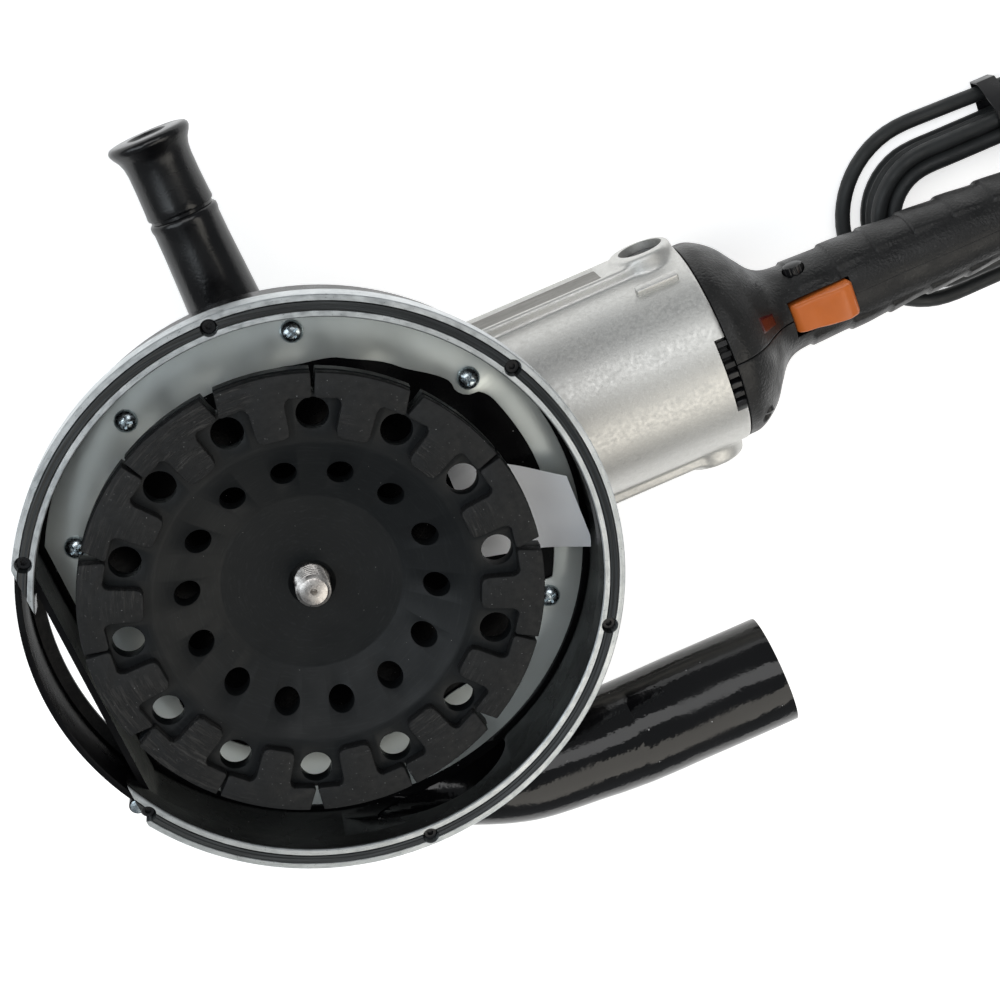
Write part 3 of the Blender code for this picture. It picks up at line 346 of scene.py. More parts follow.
class Finish:
    """A Principled material whose variation follows the piece's own coordinates."""

    def __init__(self, name, colour, roughness, metallic=0.0, **sockets):
        self.material = bpy.data.materials.new(name)
        self.material.use_nodes = True
        self.tree = self.material.node_tree
        self.shader = self.tree.nodes["Principled BSDF"]
        self.colour = (*colour, 1)
        self.shader.inputs["Base Color"].default_value = self.colour
        self.shader.inputs["Roughness"].default_value = roughness
        self.shader.inputs["Metallic"].default_value = metallic
        for socket, value in sockets.items():
            self.shader.inputs[socket.replace("_", " ")].default_value = value
        self.place = self.node("ShaderNodeTexCoord").outputs["Object"]
        self.normal = None

    def node(self, kind, **values):
        made = self.tree.nodes.new(kind)
        for key, value in values.items():
            setattr(made, key, value)
        return made

    def link(self, source, target):
        self.tree.links.new(source, target)

    def maths(self, operation, first, second=0.0):
        made = self.node("ShaderNodeMath", operation=operation)
        for socket, value in zip(made.inputs, (first, second)):
            if isinstance(value, (int, float)):
                socket.default_value = value
            else:
                self.link(value, socket)
        return made.outputs[0]

    def around(self, axis="Z", reach=0.08):
        """Coordinates that run round an axis: along the turn, out from it, and along it."""
        parts = self.node("ShaderNodeSeparateXYZ")
        self.link(self.place, parts.inputs[0])
        first, second, along = {"Z": (0, 1, 2), "X": (1, 2, 0), "Y": (0, 2, 1)}[axis]
        a = parts.outputs[first]
        b = parts.outputs[second]
        if axis == "X":
            b = self.maths("SUBTRACT", b, MOTOR_Z)
        angle = self.maths("ARCTAN2", b, a)
        squares = self.maths("ADD", self.maths("MULTIPLY", a, a), self.maths("MULTIPLY", b, b))
        made = self.node("ShaderNodeCombineXYZ")
        self.link(self.maths("MULTIPLY", angle, reach), made.inputs[0])
        self.link(self.maths("SQRT", squares), made.inputs[1])
        self.link(parts.outputs[along], made.inputs[2])
        return made.outputs[0]

    def noise(self, size, detail=3.0, stretch=(1, 1, 1), source=None, rough=0.5):
        """Noise whose grains are about this size, stretched along the given axes."""
        scaled = self.node("ShaderNodeVectorMath", operation="MULTIPLY")
        self.link(source or self.place, scaled.inputs[0])
        scaled.inputs[1].default_value = [1 / (size * s) for s in stretch]
        made = self.node("ShaderNodeTexNoise")
        made.inputs["Scale"].default_value = 1.0
        made.inputs["Detail"].default_value = detail
        made.inputs["Roughness"].default_value = rough
        self.link(scaled.outputs[0], made.inputs["Vector"])
        return made.outputs["Fac"]

    def cells(self, size):
        """Distance from the middle of cells of this size."""
        scaled = self.node("ShaderNodeVectorMath", operation="SCALE")
        self.link(self.place, scaled.inputs[0])
        scaled.inputs["Scale"].default_value = 1 / size
        made = self.node("ShaderNodeTexVoronoi")
        made.inputs["Scale"].default_value = 1.0
        self.link(scaled.outputs[0], made.inputs["Vector"])
        return made.outputs["Distance"]

    def between(self, source, start, end, first=0.0, second=1.0):
        """A value brought from one range to another, and held at its ends."""
        made = self.node("ShaderNodeMapRange")
        self.link(source, made.inputs["Value"])
        for key, value in (("From Min", start), ("From Max", end), ("To Min", first), ("To Max", second)):
            made.inputs[key].default_value = value
        return made.outputs["Result"]

    def tint(self, factor, colour):
        """Mixes another colour in by a factor."""
        made = self.node("ShaderNodeMix", data_type="RGBA")
        colours = [s for s in made.inputs if s.type == "RGBA"]
        self.link(factor, made.inputs["Factor"])
        base = self.shader.inputs["Base Color"]
        if base.is_linked:
            self.link(base.links[0].from_socket, colours[0])
        else:
            colours[0].default_value = self.colour
        colours[1].default_value = (*colour, 1)
        self.link([s for s in made.outputs if s.type == "RGBA"][0], base)
        return self

    def dull(self, source, start, end, first, second):
        """Roughness that follows a value."""
        self.link(self.between(source, start, end, first, second), self.shader.inputs["Roughness"])
        return self

    def bump(self, height, distance, strength=1.0):
        """Adds relief of this height, on top of any there."""
        made = self.node("ShaderNodeBump")
        made.inputs["Distance"].default_value = distance
        made.inputs["Strength"].default_value = strength
        self.link(height, made.inputs["Height"])
        if self.normal is not None:
            self.link(self.normal, made.inputs["Normal"])
        self.normal = made.outputs["Normal"]
        self.link(self.normal, self.shader.inputs["Normal"])
        return self


def cast_silver():
    """Silver paint on rough cast metal, with a fine sparkling grain."""
    f = Finish("cast_silver", (0.64, 0.635, 0.61), 0.47, 0.82)
    f.tint(f.between(f.noise(0.035, 2), 0.35, 0.7, 0, 0.5), (0.60, 0.60, 0.585))
    f.tint(f.between(f.noise(0.0008, 2), 0.5, 0.75, 0, 0.28), (0.90, 0.90, 0.89))
    f.tint(f.between(f.noise(0.0009, 1), 0.60, 0.75, 0, 0.22), (0.40, 0.40, 0.40))
    f.dull(f.noise(0.0016, 3), 0.3, 0.7, 0.38, 0.56)
    f.bump(f.noise(0.0011, 2, rough=0.6), 0.00007, 0.6)
    return f.material


def channel_painted_shade():
    """Darker metal for the bottom of the rails' channels: painted shade of the recess, with streaks and
    mottling.
    """
    f = Finish("channel_painted_shade", (0.22, 0.215, 0.20), 0.55, 0.80)
    f.tint(f.between(f.noise(0.004, 4, (4, 1, 1)), 0.4, 0.7, 0, 0.6), (0.34, 0.33, 0.31))
    f.tint(f.between(f.noise(0.002, 3), 0.55, 0.75, 0, 0.5), (0.16, 0.15, 0.14))
    f.bump(f.noise(0.0012, 3), 0.0001, 0.7)
    return f.material


def rim_metal():
    """Machined aluminium, scuffed and pitted."""
    f = Finish("rim_metal", (0.56, 0.59, 0.60), 0.40, 0.9)
    ring = f.around()
    f.tint(f.between(f.noise(0.0012, 4, (3, 1, 1), ring), 0.45, 0.75, 0, 0.75), (0.38, 0.40, 0.41))
    f.tint(f.between(f.noise(0.0006, 2), 0.66, 0.74, 0, 0.8), (0.08, 0.09, 0.09))
    f.tint(f.between(f.noise(0.02, 2), 0.5, 0.7, 0, 0.4), (0.85, 0.87, 0.88))
    f.dull(f.noise(0.003, 4), 0.3, 0.7, 0.28, 0.52)
    f.bump(f.noise(0.0007, 4, (5, 1, 1), ring), 0.00008, 0.7)
    return f.material


def bright_liner():
    """Bright sheet steel with faint smears and dust."""
    f = Finish("bright_liner", (0.80, 0.85, 0.83), 0.34, 0.60)
    f.tint(f.between(f.noise(0.03, 3), 0.4, 0.7, 0, 0.5), (0.68, 0.71, 0.66))
    f.tint(f.between(f.cells(0.005), 0.0, 0.045, 0.7, 0), (0.95, 0.95, 0.95))
    f.dull(f.noise(0.016, 4, (1, 2, 1)), 0.35, 0.65, 0.28, 0.42)
    f.bump(f.noise(0.05, 2), 0.0006, 0.35)
    return f.material


def zinc():
    """Zinc-plated screw steel."""
    f = Finish("screw_zinc", (0.62, 0.70, 0.74), 0.22, 1.0)
    f.tint(f.between(f.noise(0.0014, 3), 0.45, 0.7, 0, 0.7), (0.30, 0.36, 0.40))
    f.dull(f.noise(0.001, 3), 0.3, 0.7, 0.15, 0.35)
    f.bump(f.noise(0.0009, 3), 0.00007, 0.6)
    return f.material


def spindle_steel():
    """Turned steel, browned a little in the thread."""
    f = Finish("spindle_steel", (0.55, 0.53, 0.51), 0.32, 1.0)
    f.tint(f.between(f.noise(0.0015, 3, (3, 1, 1), f.around()), 0.45, 0.7, 0, 0.6), (0.30, 0.26, 0.24))
    f.dull(f.noise(0.001, 3), 0.3, 0.7, 0.24, 0.42)
    f.bump(f.noise(0.0004, 3, (6, 1, 1), f.around()), 0.00004, 0.7)
    return f.material


def ground_steel():
    """Plain ground steel of the inner pieces."""
    f = Finish("ground_steel", (0.52, 0.52, 0.52), 0.3, 1.0)
    f.dull(f.noise(0.002, 3), 0.3, 0.7, 0.22, 0.4)
    f.bump(f.noise(0.0006, 3), 0.00003, 0.6)
    return f.material


def wheel_black():
    """Matt black coat on the steel cup, lightly turned and dusty."""
    f = Finish("wheel_black", (0.0060, 0.0072, 0.0080), 0.42, 0.0, Specular_IOR_Level=0.20)
    ring = f.around()
    f.tint(f.between(f.noise(0.05, 3), 0.4, 0.7, 0, 0.6), (0.011, 0.012, 0.013))
    f.tint(f.between(f.noise(0.0008, 2, (14, 1, 1), ring), 0.55, 0.8, 0, 0.5), (0.018, 0.020, 0.021))
    f.tint(f.between(f.cells(0.0052), 0.0, 0.034, 0.8, 0), (0.40, 0.40, 0.38))
    f.dull(f.noise(0.012, 4), 0.3, 0.7, 0.36, 0.52)
    f.bump(f.noise(0.0005, 3, (24, 1, 1), ring), 0.00003, 0.5)
    f.bump(f.noise(0.0012, 2), 0.00003, 0.5)
    return f.material


def diamond_grit():
    """Black-coated diamond segments, dragged into tangential streaks in places."""
    f = Finish("diamond_grit", (0.0085, 0.0090, 0.0095), 0.62, Specular_IOR_Level=0.30)
    ring = f.around()
    streak = f.noise(0.0011, 4, (11, 1, 1), ring, 0.7)
    patch = f.between(f.noise(0.05, 2), 0.47, 0.58, 0.06, 1.0)
    scored = f.maths("MULTIPLY", f.between(streak, 0.48, 0.62), patch)
    f.tint(scored, (0.034, 0.033, 0.032))
    f.tint(f.between(f.noise(0.0011, 2), 0.69, 0.76, 0, 0.6), (0.10, 0.10, 0.10))
    f.tint(f.between(f.cells(0.0042), 0.0, 0.05, 0.9, 0), (0.45, 0.46, 0.46))
    f.dull(f.noise(0.003, 3), 0.3, 0.7, 0.5, 0.72)
    f.bump(scored, 0.00025, 0.9)
    f.bump(f.noise(0.0007, 3), 0.00010, 0.7)
    return f.material


def gloss_black(name="hood_black", speck=0.0065, wave=0.00018, level=0.16, rough=(0.20, 0.34)):
    """Gloss black paint with a slight orange peel and dust."""
    f = Finish(name, (0.0035, 0.0035, 0.004), 0.10, 0.0, Specular_IOR_Level=level)
    f.tint(f.between(f.cells(speck), 0.0, 0.045, 0.9, 0), (0.5, 0.5, 0.5))
    f.dull(f.noise(0.02, 4), 0.35, 0.7, *rough)
    f.bump(f.noise(0.0028, 2), wave, 0.35)
    f.bump(f.noise(0.011, 1), 0.0004, 0.28)
    return f.material


def handle_black():
    """Grained black plastic, greyed where hands and light catch it."""
    f = Finish("grip_black", (0.0085, 0.0085, 0.0088), 0.40, Specular_IOR_Level=0.38)
    f.tint(f.between(f.noise(0.03, 4), 0.45, 0.7, 0, 0.5), (0.016, 0.0155, 0.0145))
    f.tint(f.between(f.noise(0.0011, 3), 0.60, 0.75, 0, 0.5), (0.06, 0.06, 0.058))
    f.dull(f.noise(0.012, 4), 0.35, 0.65, 0.30, 0.52)
    f.bump(f.noise(0.0012, 3), 0.00034, 0.8)
    return f.material


def smooth_black():
    """Smoother black plastic of small pieces."""
    f = Finish("smooth_black", (0.008, 0.008, 0.009), 0.3, Specular_IOR_Level=0.40)
    f.dull(f.noise(0.006, 3), 0.35, 0.65, 0.24, 0.40)
    f.bump(f.noise(0.0012, 3), 0.00006, 0.6)
    return f.material


def side_grip_black():
    """Glossy black plastic with a fine spark-eroded grain that sparkles."""
    f = Finish("side_grip_black", (0.004, 0.004, 0.0045), 0.22, Specular_IOR_Level=0.45)
    f.dull(f.noise(0.02, 2), 0.35, 0.65, 0.16, 0.30)
    f.bump(f.noise(0.0009, 2), 0.00010, 0.7)
    return f.material


def orange():
    """Orange moulded plastic."""
    f = Finish("trigger_orange", (0.62, 0.155, 0.028), 0.38, IOR=1.48)
    f.tint(f.between(f.noise(0.012, 3), 0.4, 0.7, 0, 0.5), (0.54, 0.130, 0.022))
    f.dull(f.noise(0.004, 3), 0.35, 0.65, 0.3, 0.45)
    f.bump(f.noise(0.0010, 3), 0.00005, 0.6)
    return f.material


def rubber(name="rubber_black", colour=(0.012, 0.0125, 0.013), size=0.0009):
    """Black rubber."""
    f = Finish(name, colour, 0.5, Specular_IOR_Level=0.4)
    f.tint(f.between(f.noise(0.015, 3), 0.4, 0.7, 0, 0.6), [c * 1.8 for c in colour])
    f.dull(f.noise(0.008, 3), 0.35, 0.65, 0.42, 0.62)
    f.bump(f.noise(size, 3), 0.00006, 0.6)
    return f.material


def bristle():
    """Dark strip in the rim's groove, with a lengthwise grain."""
    f = Finish("brush_strip_look", (0.016, 0.018, 0.019), 0.48, IOR=1.45)
    ring = f.around(reach=0.113)
    lines = f.noise(0.00045, 2, (60, 1, 60), ring)
    f.tint(f.between(lines, 0.45, 0.65, 0, 0.7), (0.045, 0.050, 0.052))
    f.bump(lines, 0.00012, 0.8)
    return f.material


def red_lens():
    """Dark red lens of the running light."""
    f = Finish("red_lens", (0.060, 0.005, 0.004), 0.2, Specular_IOR_Level=0.4)
    f.tint(f.between(f.noise(0.006, 2), 0.4, 0.7, 0, 0.6), (0.025, 0.004, 0.004))
    f.bump(f.noise(0.002, 2), 0.00004, 0.5)
    return f.material


def paper():
    """Blank white sticker."""
    f = Finish("sticker_paper", (0.97, 0.98, 1.0), 0.55)
    f.tint(f.between(f.noise(0.02, 3), 0.4, 0.7, 0, 0.5), (0.86, 0.88, 0.92))
    f.bump(f.noise(0.0011, 3), 0.00003, 0.5)
    return f.material


def brass_pins():
    """Nickel-brass contact pins."""
    f = Finish("plug_pins", (0.72, 0.66, 0.52), 0.25, 1.0)
    f.dull(f.noise(0.003, 3), 0.35, 0.65, 0.2, 0.36)
    f.bump(f.noise(0.0009, 3), 0.00003, 0.5)
    return f.material


def copper():
    """Enamelled copper windings."""
    f = Finish("winding_copper", (0.55, 0.24, 0.10), 0.35, 1.0)
    lines = f.noise(0.0012, 1, (1, 30, 1), f.around("X"))
    f.tint(f.between(lines, 0.4, 0.6, 0, 0.7), (0.30, 0.11, 0.05))
    f.bump(lines, 0.0003, 0.7)
    return f.material


def laminations():
    """Stacked sheets of the stator."""
    f = Finish("laminated_steel", (0.25, 0.25, 0.26), 0.45, 0.9)
    lines = f.noise(0.0005, 1, (1, 1, 1), f.around("X"))
    f.tint(f.between(lines, 0.4, 0.6, 0, 0.6), (0.12, 0.12, 0.12))
    f.bump(lines, 0.0001, 0.7)
    return f.material


LOOK = {
    "silver": cast_silver(),
    # painted shade for the bottom of the rails' channels
    "channel_shade": channel_painted_shade(),
    "rim": rim_metal(),
    "liner": bright_liner(),
    "zinc": zinc(),
    "spindle": spindle_steel(),
    "steel": ground_steel(),
    "wheel": wheel_black(),
    "grit": diamond_grit(),
    "gloss": gloss_black(),
    "pipe": gloss_black("pipe_black", 0.009, 0.00030, 0.45, (0.06, 0.18)),
    "grip": handle_black(),
    "smooth": smooth_black(),
    "side": side_grip_black(),
    "orange": orange(),
    "rubber": rubber(),
    "cord": rubber("cord_rubber", (0.016, 0.0175, 0.018), 0.0012),
    "bristle": bristle(),
    "lens": red_lens(),
    "paper": paper(),
    "pins": brass_pins(),
    "copper": copper(),
    "laminations": laminations(),
}


def dress_inner_nodes():
    """Materials of the CAD pieces that stay as they are."""
    kept = {
        "steel": (
            "wheel_flange crown_gear drive_pinion motor_shaft spindle_bearing_front spindle_bearing_rear"
            " motor_bearing_front motor_bearing_rear side_handle_stud"
        ),
        "copper": (
            "field_coil_front field_coil_rear armature_core commutator brush_holder_left"
            " brush_holder_right"
        ),
        "laminations": "stator",
        "smooth": "air_guide rear_bracket cooling_fan switch_block carbon_brush_left carbon_brush_right",
    }
    for look, names in kept.items():
        for name in names.split():
            NODES[name].data.materials.clear()
            NODES[name].data.materials.append(LOOK[look])


# ---------------------------------------------------------------- camera, lights and floor


def camera():
    """A camera above the tool, on the side handle's side, turned a little about its own axis."""
    right = Vector((0.9172, -0.3660, 0.1578)).normalized()
    up = Vector((0.3978, 0.8647, -0.3067)).normalized()
    back = right.cross(up)
    data = bpy.data.cameras.new("camera")
    data.lens = 64.8
    data.sensor_width = 36
    data.clip_start = 0.01
    made = bpy.data.objects.new("camera", data)
    bpy.context.scene.collection.objects.link(made)
    turn = Matrix((right, up, back)).transposed().to_4x4()
    made.matrix_world = Matrix.Translation((0.0636, 0.2449, 0.7948)) @ turn
    bpy.context.scene.camera = made


def area_light(name, at, towards, size, power, colour=(1, 1, 1)):
    """A soft rectangular light."""
    data = bpy.data.lights.new(name, "AREA")
    data.shape = "RECTANGLE"
    data.size, data.size_y = size
    data.energy = power
    data.color = colour
    made = bpy.data.objects.new(name, data)
    bpy.context.scene.collection.objects.link(made)
    made.location = at
    made.rotation_euler = (Vector(towards) - Vector(at)).to_track_quat("-Z", "Y").to_euler()


def studio():
    """A pale floor under soft overhead lights."""
    shape = bmesh.new()
    bmesh.ops.create_grid(shape, x_segments=1, y_segments=1, size=4)
    floor = object_of("floor", shape)
    f = Finish("floor_white", (0.90, 0.90, 0.90), 0.9, Emission_Color=(1, 1, 1, 1), Emission_Strength=0.6)
    floor.data.materials.append(f.material)
    floor.location.z = -0.0006
    world = bpy.data.worlds.new("studio")
    world.use_nodes = True
    background = world.node_tree.nodes["Background"]
    background.inputs["Color"].default_value = (0.86, 0.90, 0.94, 1)
    background.inputs["Strength"].default_value = 0.24
    bpy.context.scene.world = world
    area_light("key", (0.60, -0.85, 1.35), (0.08, 0, 0.08), (1.9, 1.0), 10.5, (1.0, 0.95, 0.86))
    area_light("fill", (-0.85, 0.45, 1.20), (0.05, 0, 0.08), (0.8, 1.4), 8, (0.88, 0.95, 1.0))
    area_light("top", (0.30, 0.75, 1.60), (0.10, 0, 0.05), (1.4, 0.8), 7)
    bpy.context.scene.view_settings.view_transform = "Standard"


# ---------------------------------------------------------------- lead


def smooth_route(points, spacing):
    """Points a set distance apart on a smooth curve through the given ones."""
    route = [Vector(p) for p in points]
    route = [2 * route[0] - route[1], *route, 2 * route[-1] - route[-2]]
    found = []
    for a, b, c, d in zip(route, route[1:], route[2:], route[3:]):
        steps = max(2, round((c - b).length / spacing))
        for i in range(steps):
            t = i / steps
            square = (2 * a - 5 * b + 4 * c - d) * t**2
            found.append(0.5 * (2 * b + (c - a) * t + square + (3 * b - a - 3 * c + d) * t**3))
    return [*found, route[-2]]


def eased(t):
    """A smooth step from 0 to 1."""
    t = min(max(t, 0), 1)
    return t * t * (3 - 2 * t)


def hank_spot(radius, share):
    """A point and a share of the way round a long turn of this end radius."""
    x, y = HANK_CENTRE
    bend = math.pi * radius
    way = share * (2 * HANK_RUN + 2 * bend)
    left = x - HANK_RUN / 2
    right = x + HANK_RUN / 2
    if way < HANK_RUN:
        return right - way, y - radius
    way -= HANK_RUN
    if way < bend:
        angle = -math.pi / 2 - way / radius
        return left + radius * math.cos(angle), y + radius * math.sin(angle)
    way -= bend
    if way < HANK_RUN:
        return left + way, y + radius
    angle = math.pi / 2 - (way - HANK_RUN) / radius
    return right + radius * math.cos(angle), y + radius * math.sin(angle)


def lead_route():
    """The whole lead: out of the guard, down to the floor, round the hank and up to the plug."""
    rest = CORD_RADIUS + 0.0001
    out = [
        (GUARD_END + GAP, 0, MOTOR_Z),
        (0.462, 0, MOTOR_Z - 0.0005),
        (0.485, -0.001, 0.0415),
        (0.508, -0.006, 0.027),
        (0.526, -0.018, 0.011),
        (0.533, -0.036, rest + 0.0005),
        (0.526, -0.060, rest),
        (0.508, -0.071, rest),
        (0.490, -0.064, rest),
        (0.474, -0.048, rest),
        (0.4605, -0.0390, rest),
        (0.4440, -0.0394, rest),
    ]
    outer, middle, inner = HANK_COLUMNS
    layer = 2 * CORD_RADIUS + 0.0001
    # Each turn has a column and a layer, and slides over to the next one's in its last part
    turns = [(outer, 0), (middle, 0), (inner, 0), (inner, 1), (middle, 1), (inner, 2), (middle, 2)]
    steps = 52
    wound = []
    for i, (radius, level) in enumerate(turns):
        last = i == len(turns) - 1
        after = turns[i] if last else turns[i + 1]
        start = 0.48 if i == 0 else 0.70
        first_step = 2 if i == 0 else 0
        for step in range(first_step, steps):
            share = step / steps
            if last and share > 0.58:
                break
            change = eased((share - start) / (1 - start))
            x, y = hank_spot(radius + (after[0] - radius) * change, share)
            wobble = 0.0004 * noise.noise(Vector((share * 5, i * 3.1, 0)))
            wound.append((x, y + wobble, rest + layer * (level + (after[1] - level) * change)))
    tail = [
        (0.4180, 0.0345, 0.0170),
        (0.4310, 0.0382, 0.0140),
        (0.4450, 0.0417, 0.0085),
        (0.4605, PLUG_Y, rest),
        (0.468, PLUG_Y, rest + 0.0003),
        (0.480, PLUG_Y, 0.0080),
        (0.490, PLUG_Y, 0.0145),
        (0.498, PLUG_Y, 0.0178),
        (PLUG_X - 0.0010, PLUG_Y, PLUG_RADIUS),
    ]
    return smooth_route(out + wound + tail, ROUTE_STEP)


def lead():
    """The mains lead, its tie, the bend guard and the plug."""
    points = lead_route()
    curve = bpy.data.curves.new("mains_lead", "CURVE")
    curve.dimensions = "3D"
    curve.bevel_depth = CORD_RADIUS
    curve.bevel_resolution = 4
    curve.use_fill_caps = True
    spline = curve.splines.new("POLY")
    spline.points.add(len(points) - 1)
    for point, spot in zip(spline.points, points):
        point.co = (*spot, 1)
    cord = bpy.data.objects.new("mains_lead", curve)
    bpy.context.scene.collection.objects.link(cord)
    dress(cord, LOOK["cord"], "tool", "cord_lead", "cord_hank", "cord_tail")
    pieces = [cord_tie(), plug_body(), plug_pins(), cord_guard()]


def cord_tie():
    """A flat strap round one side of the hank."""
    x = 0.360
    half = 0.0045
    thick = 0.0006
    y_near = HANK_CENTRE[1] + HANK_COLUMNS[2] - CORD_RADIUS - 0.0004
    y_far = HANK_CENTRE[1] + HANK_COLUMNS[0] + CORD_RADIUS + 0.0004
    top = 6 * CORD_RADIUS + 0.0009
    inside = [(y_near, 0.0002), (y_far, 0.0002), (y_far, 0.0078), (y_far - 0.0115, top), (y_near, top)]
    middle = Vector((sum(p[0] for p in inside) / 5, sum(p[1] for p in inside) / 5))
    outside = []
    for y, z in inside:
        away = (Vector((y, z)) - middle).normalized() * thick * 1.4
        outside.append((y + away.x, max(z + away.y, 0.00005)))
    rings = []
    for side, outline in ((-half, inside), (-half, outside), (half, outside), (half, inside)):
        rings.append([(x + side, y, z) for y, z in outline])
    strap = skin("cord_tie", rings, closed=True)
    return dress(soften(strap, 0.0015, 3), LOOK["smooth"], "tool")


def cord_guard():
    """The tapered bend guard, with grooves round it."""
    base = HANDLE_END
    profile = [(0, GUARD_END), (0.0044, GUARD_END), (0.0048, GUARD_END - 0.0006)]
    grooves = 9
    start = GUARD_END - 0.003
    step = (start - base - 0.005) / grooves
    for i in range(grooves):
        near = start - step * i
        radius = 0.0049 + (0.0080 - 0.0049) * (start - near) / (start - base - 0.005)
        profile += [(radius, near), (radius, near - step * 0.62), (radius - 0.0011, near - step * 0.70)]
        profile += [(radius - 0.0010, near - step * 0.92)]
    foot = ((0.0080, 0.005), (0.0090, 0.0036), (0.0108, 0.0032), (0.0110, 0.0028), (0.0110, 0.0003))
    foot += ((0.0079, 0.0003), (0.0079, -0.0076), (0, -0.0076))
    profile += [(radius, base + way) for radius, way in foot]
    guard = lathe("cord_guard_fine", profile, 48, axis="X", centre=(0, 0, MOTOR_Z))
    return dress(guard, LOOK["rubber"], "tool", "cord_guard")


def plug_body():
    """The moulded round plug, with finger grooves."""
    profile = [(0, 0.052), (0.0172, 0.052), (0.0182, 0.0513), (PLUG_RADIUS, 0.0500), (PLUG_RADIUS, 0.0370)]
    profile += [(0.0182, 0.0358), (0.0160, 0.0325), (0.0150, 0.0300)]
    for i in range(3):
        near = 0.0290 - i * 0.0030
        radius = 0.0148 - i * 0.0006
        profile += [(radius, near), (radius - 0.0009, near - 0.0008), (radius - 0.0009, near - 0.0018)]
    profile += [(0.0130, 0.0185), (0.0104, 0.0140), (0.0075, 0.0100), (0.0060, 0.0040), (0.0055, 0), (0, 0)]
    spot = (PLUG_X, PLUG_Y, PLUG_RADIUS)
    plug = lathe("mains_plug_body", profile, 64, axis="X", centre=spot)
    return dress(plug, LOOK["rubber"], "tool", "mains_plug")


def plug_pins():
    """The two round pins."""
    pins = []
    for side in (-1, 1):
        spot = (PLUG_X, PLUG_Y + side * 0.0095, PLUG_RADIUS)
        profile = [(0, 0.0710), (0.0014, 0.0710), (0.0024, 0.0696), (0.0024, 0.0500), (0, 0.0500)]
        pins.append(lathe("pin", profile, 24, axis="X", centre=spot))
    return dress(merged("plug_pins", pins), LOOK["pins"], "tool")


# ---------------------------------------------------------------- wheel


def hole_angles(offset):
    """The angle of each hole of one ring."""
    return [FIRST_HOLE + (i + offset) * HOLE_PITCH for i in range(WHEEL_HOLES)]


def cup_wheel():
    """The steel cup with two rings of holes and a gullet beyond each outer hole."""
    inner = WHEEL_RADIUS - 0.028
    plate = STEP_Z - 0.006
    profile = [
        (0.0074, HUB_Z - 0.0016),
        (0.0090, HUB_Z - 0.0004),
        (0.0094, HUB_Z),
        (HUB_RADIUS - 0.0006, HUB_Z),
        (HUB_RADIUS + 0.0003, HUB_Z + 0.0002),
        (inner - 0.0012, STEP_Z - 0.0006),
        (inner + 0.0004, STEP_Z),
        (WHEEL_RADIUS - 0.0005, STEP_Z),
        (WHEEL_RADIUS, STEP_Z - 0.0005),
        (WHEEL_RADIUS, plate + 0.0004),
        (WHEEL_RADIUS - 0.0004, plate),
        (inner + 0.002, plate),
        (HUB_RADIUS + 0.004, WHEEL_BACK),
        (0.0074, WHEEL_BACK),
    ]
    wheel = lathe("cup_wheel_fine", profile, 168, ring=True)
    cutters = []
    for circle, radius, offset in ((0.073, 0.0063, 0), (0.0485, 0.0051, 0.5)):
        for angle in hole_angles(offset):
            spot = (circle * math.cos(angle), circle * math.sin(angle), 0)
            cutters.append(rod("hole", radius, WHEEL_BACK - 0.001, FACE_Z, centre=spot, sides=40))
    for i, angle in enumerate(hole_angles(0)):
        half = 0.0030 if i % 2 else 0.0013
        gullet = [(0.0925, half), (0.0850, half * 0.55), (0.0815, 0.0004)]
        outline = gullet + [(x, -y) for x, y in reversed(gullet)]
        turned = [
            (x * math.cos(angle) - y * math.sin(angle), x * math.sin(angle) + y * math.cos(angle))
            for x, y in outline
        ]
        cutters.append(slab("gullet", turned, plate - 0.001, FACE_Z))
    cut(wheel, merged("wheel_cutters", cutters))
    soften(wheel, 0.00025, 2, 50)
    return dress(wheel, LOOK["wheel"], "wheel_spindle", "cup_wheel", sharp=30)


def segment_outline(i):
    """The outline of one T-shaped segment: a band with a foot between two pockets."""
    start = hole_angles(0)[i]
    end = start + HOLE_PITCH
    outer = WHEEL_RADIUS - GAP
    band = WHEEL_RADIUS - 0.0100
    foot = 0.0647
    half_foot = 0.0068
    slot_first = 0.0028 if i % 2 else 0.0009
    slot_second = 0.0009 if i % 2 else 0.0028

    def at(radius, angle, shift=0.0):
        return (
            radius * math.cos(angle) - shift * math.sin(angle),
            radius * math.sin(angle) + shift * math.cos(angle),
        )

    points = []
    steps = 14
    a = start + slot_first / outer
    b = end - slot_second / outer
    for k in range(steps + 1):
        points.append(at(outer, a + (b - a) * k / steps))
    middle = (start + end) / 2
    half_slot = 0.0004
    points.append(at(band + 0.0008, end, -half_slot))
    reach = middle - end
    for k in range(1, 6):
        angle = end + reach * (1 - (half_foot + 0.0030) / (abs(reach) * 0.08)) * k / 6
        points.append(at(band, angle))
    corner = [
        (band - 0.0002, half_foot + 0.0022),
        (band - 0.0010, half_foot + 0.0008),
        (band - 0.0028, half_foot),
        (foot + 0.0030, half_foot - 0.0004),
        (foot + 0.0008, half_foot - 0.0010),
        (foot, half_foot - 0.0028),
    ]
    for radius, shift in corner:
        points.append(at(radius, middle, shift))
    for radius, shift in reversed(corner):
        points.append(at(radius, middle, -shift))
    for k in range(5, 0, -1):
        angle = start - reach * (1 - (half_foot + 0.0030) / (abs(reach) * 0.08)) * k / 6
        points.append(at(band, angle))
    points.append(at(band + 0.0008, start, half_slot))
    return points


def diamond_segments():
    """The ring of diamond segments."""
    segments = []
    for i in range(WHEEL_HOLES):
        segments.append(slab("segment", segment_outline(i), STEP_Z + 0.0001, FACE_Z))
    ring = merged("diamond_segments", segments)
    soften(ring, 0.0004, 2, 35)
    return dress(ring, LOOK["grit"], "wheel_spindle", "diamond_ring", sharp=45)


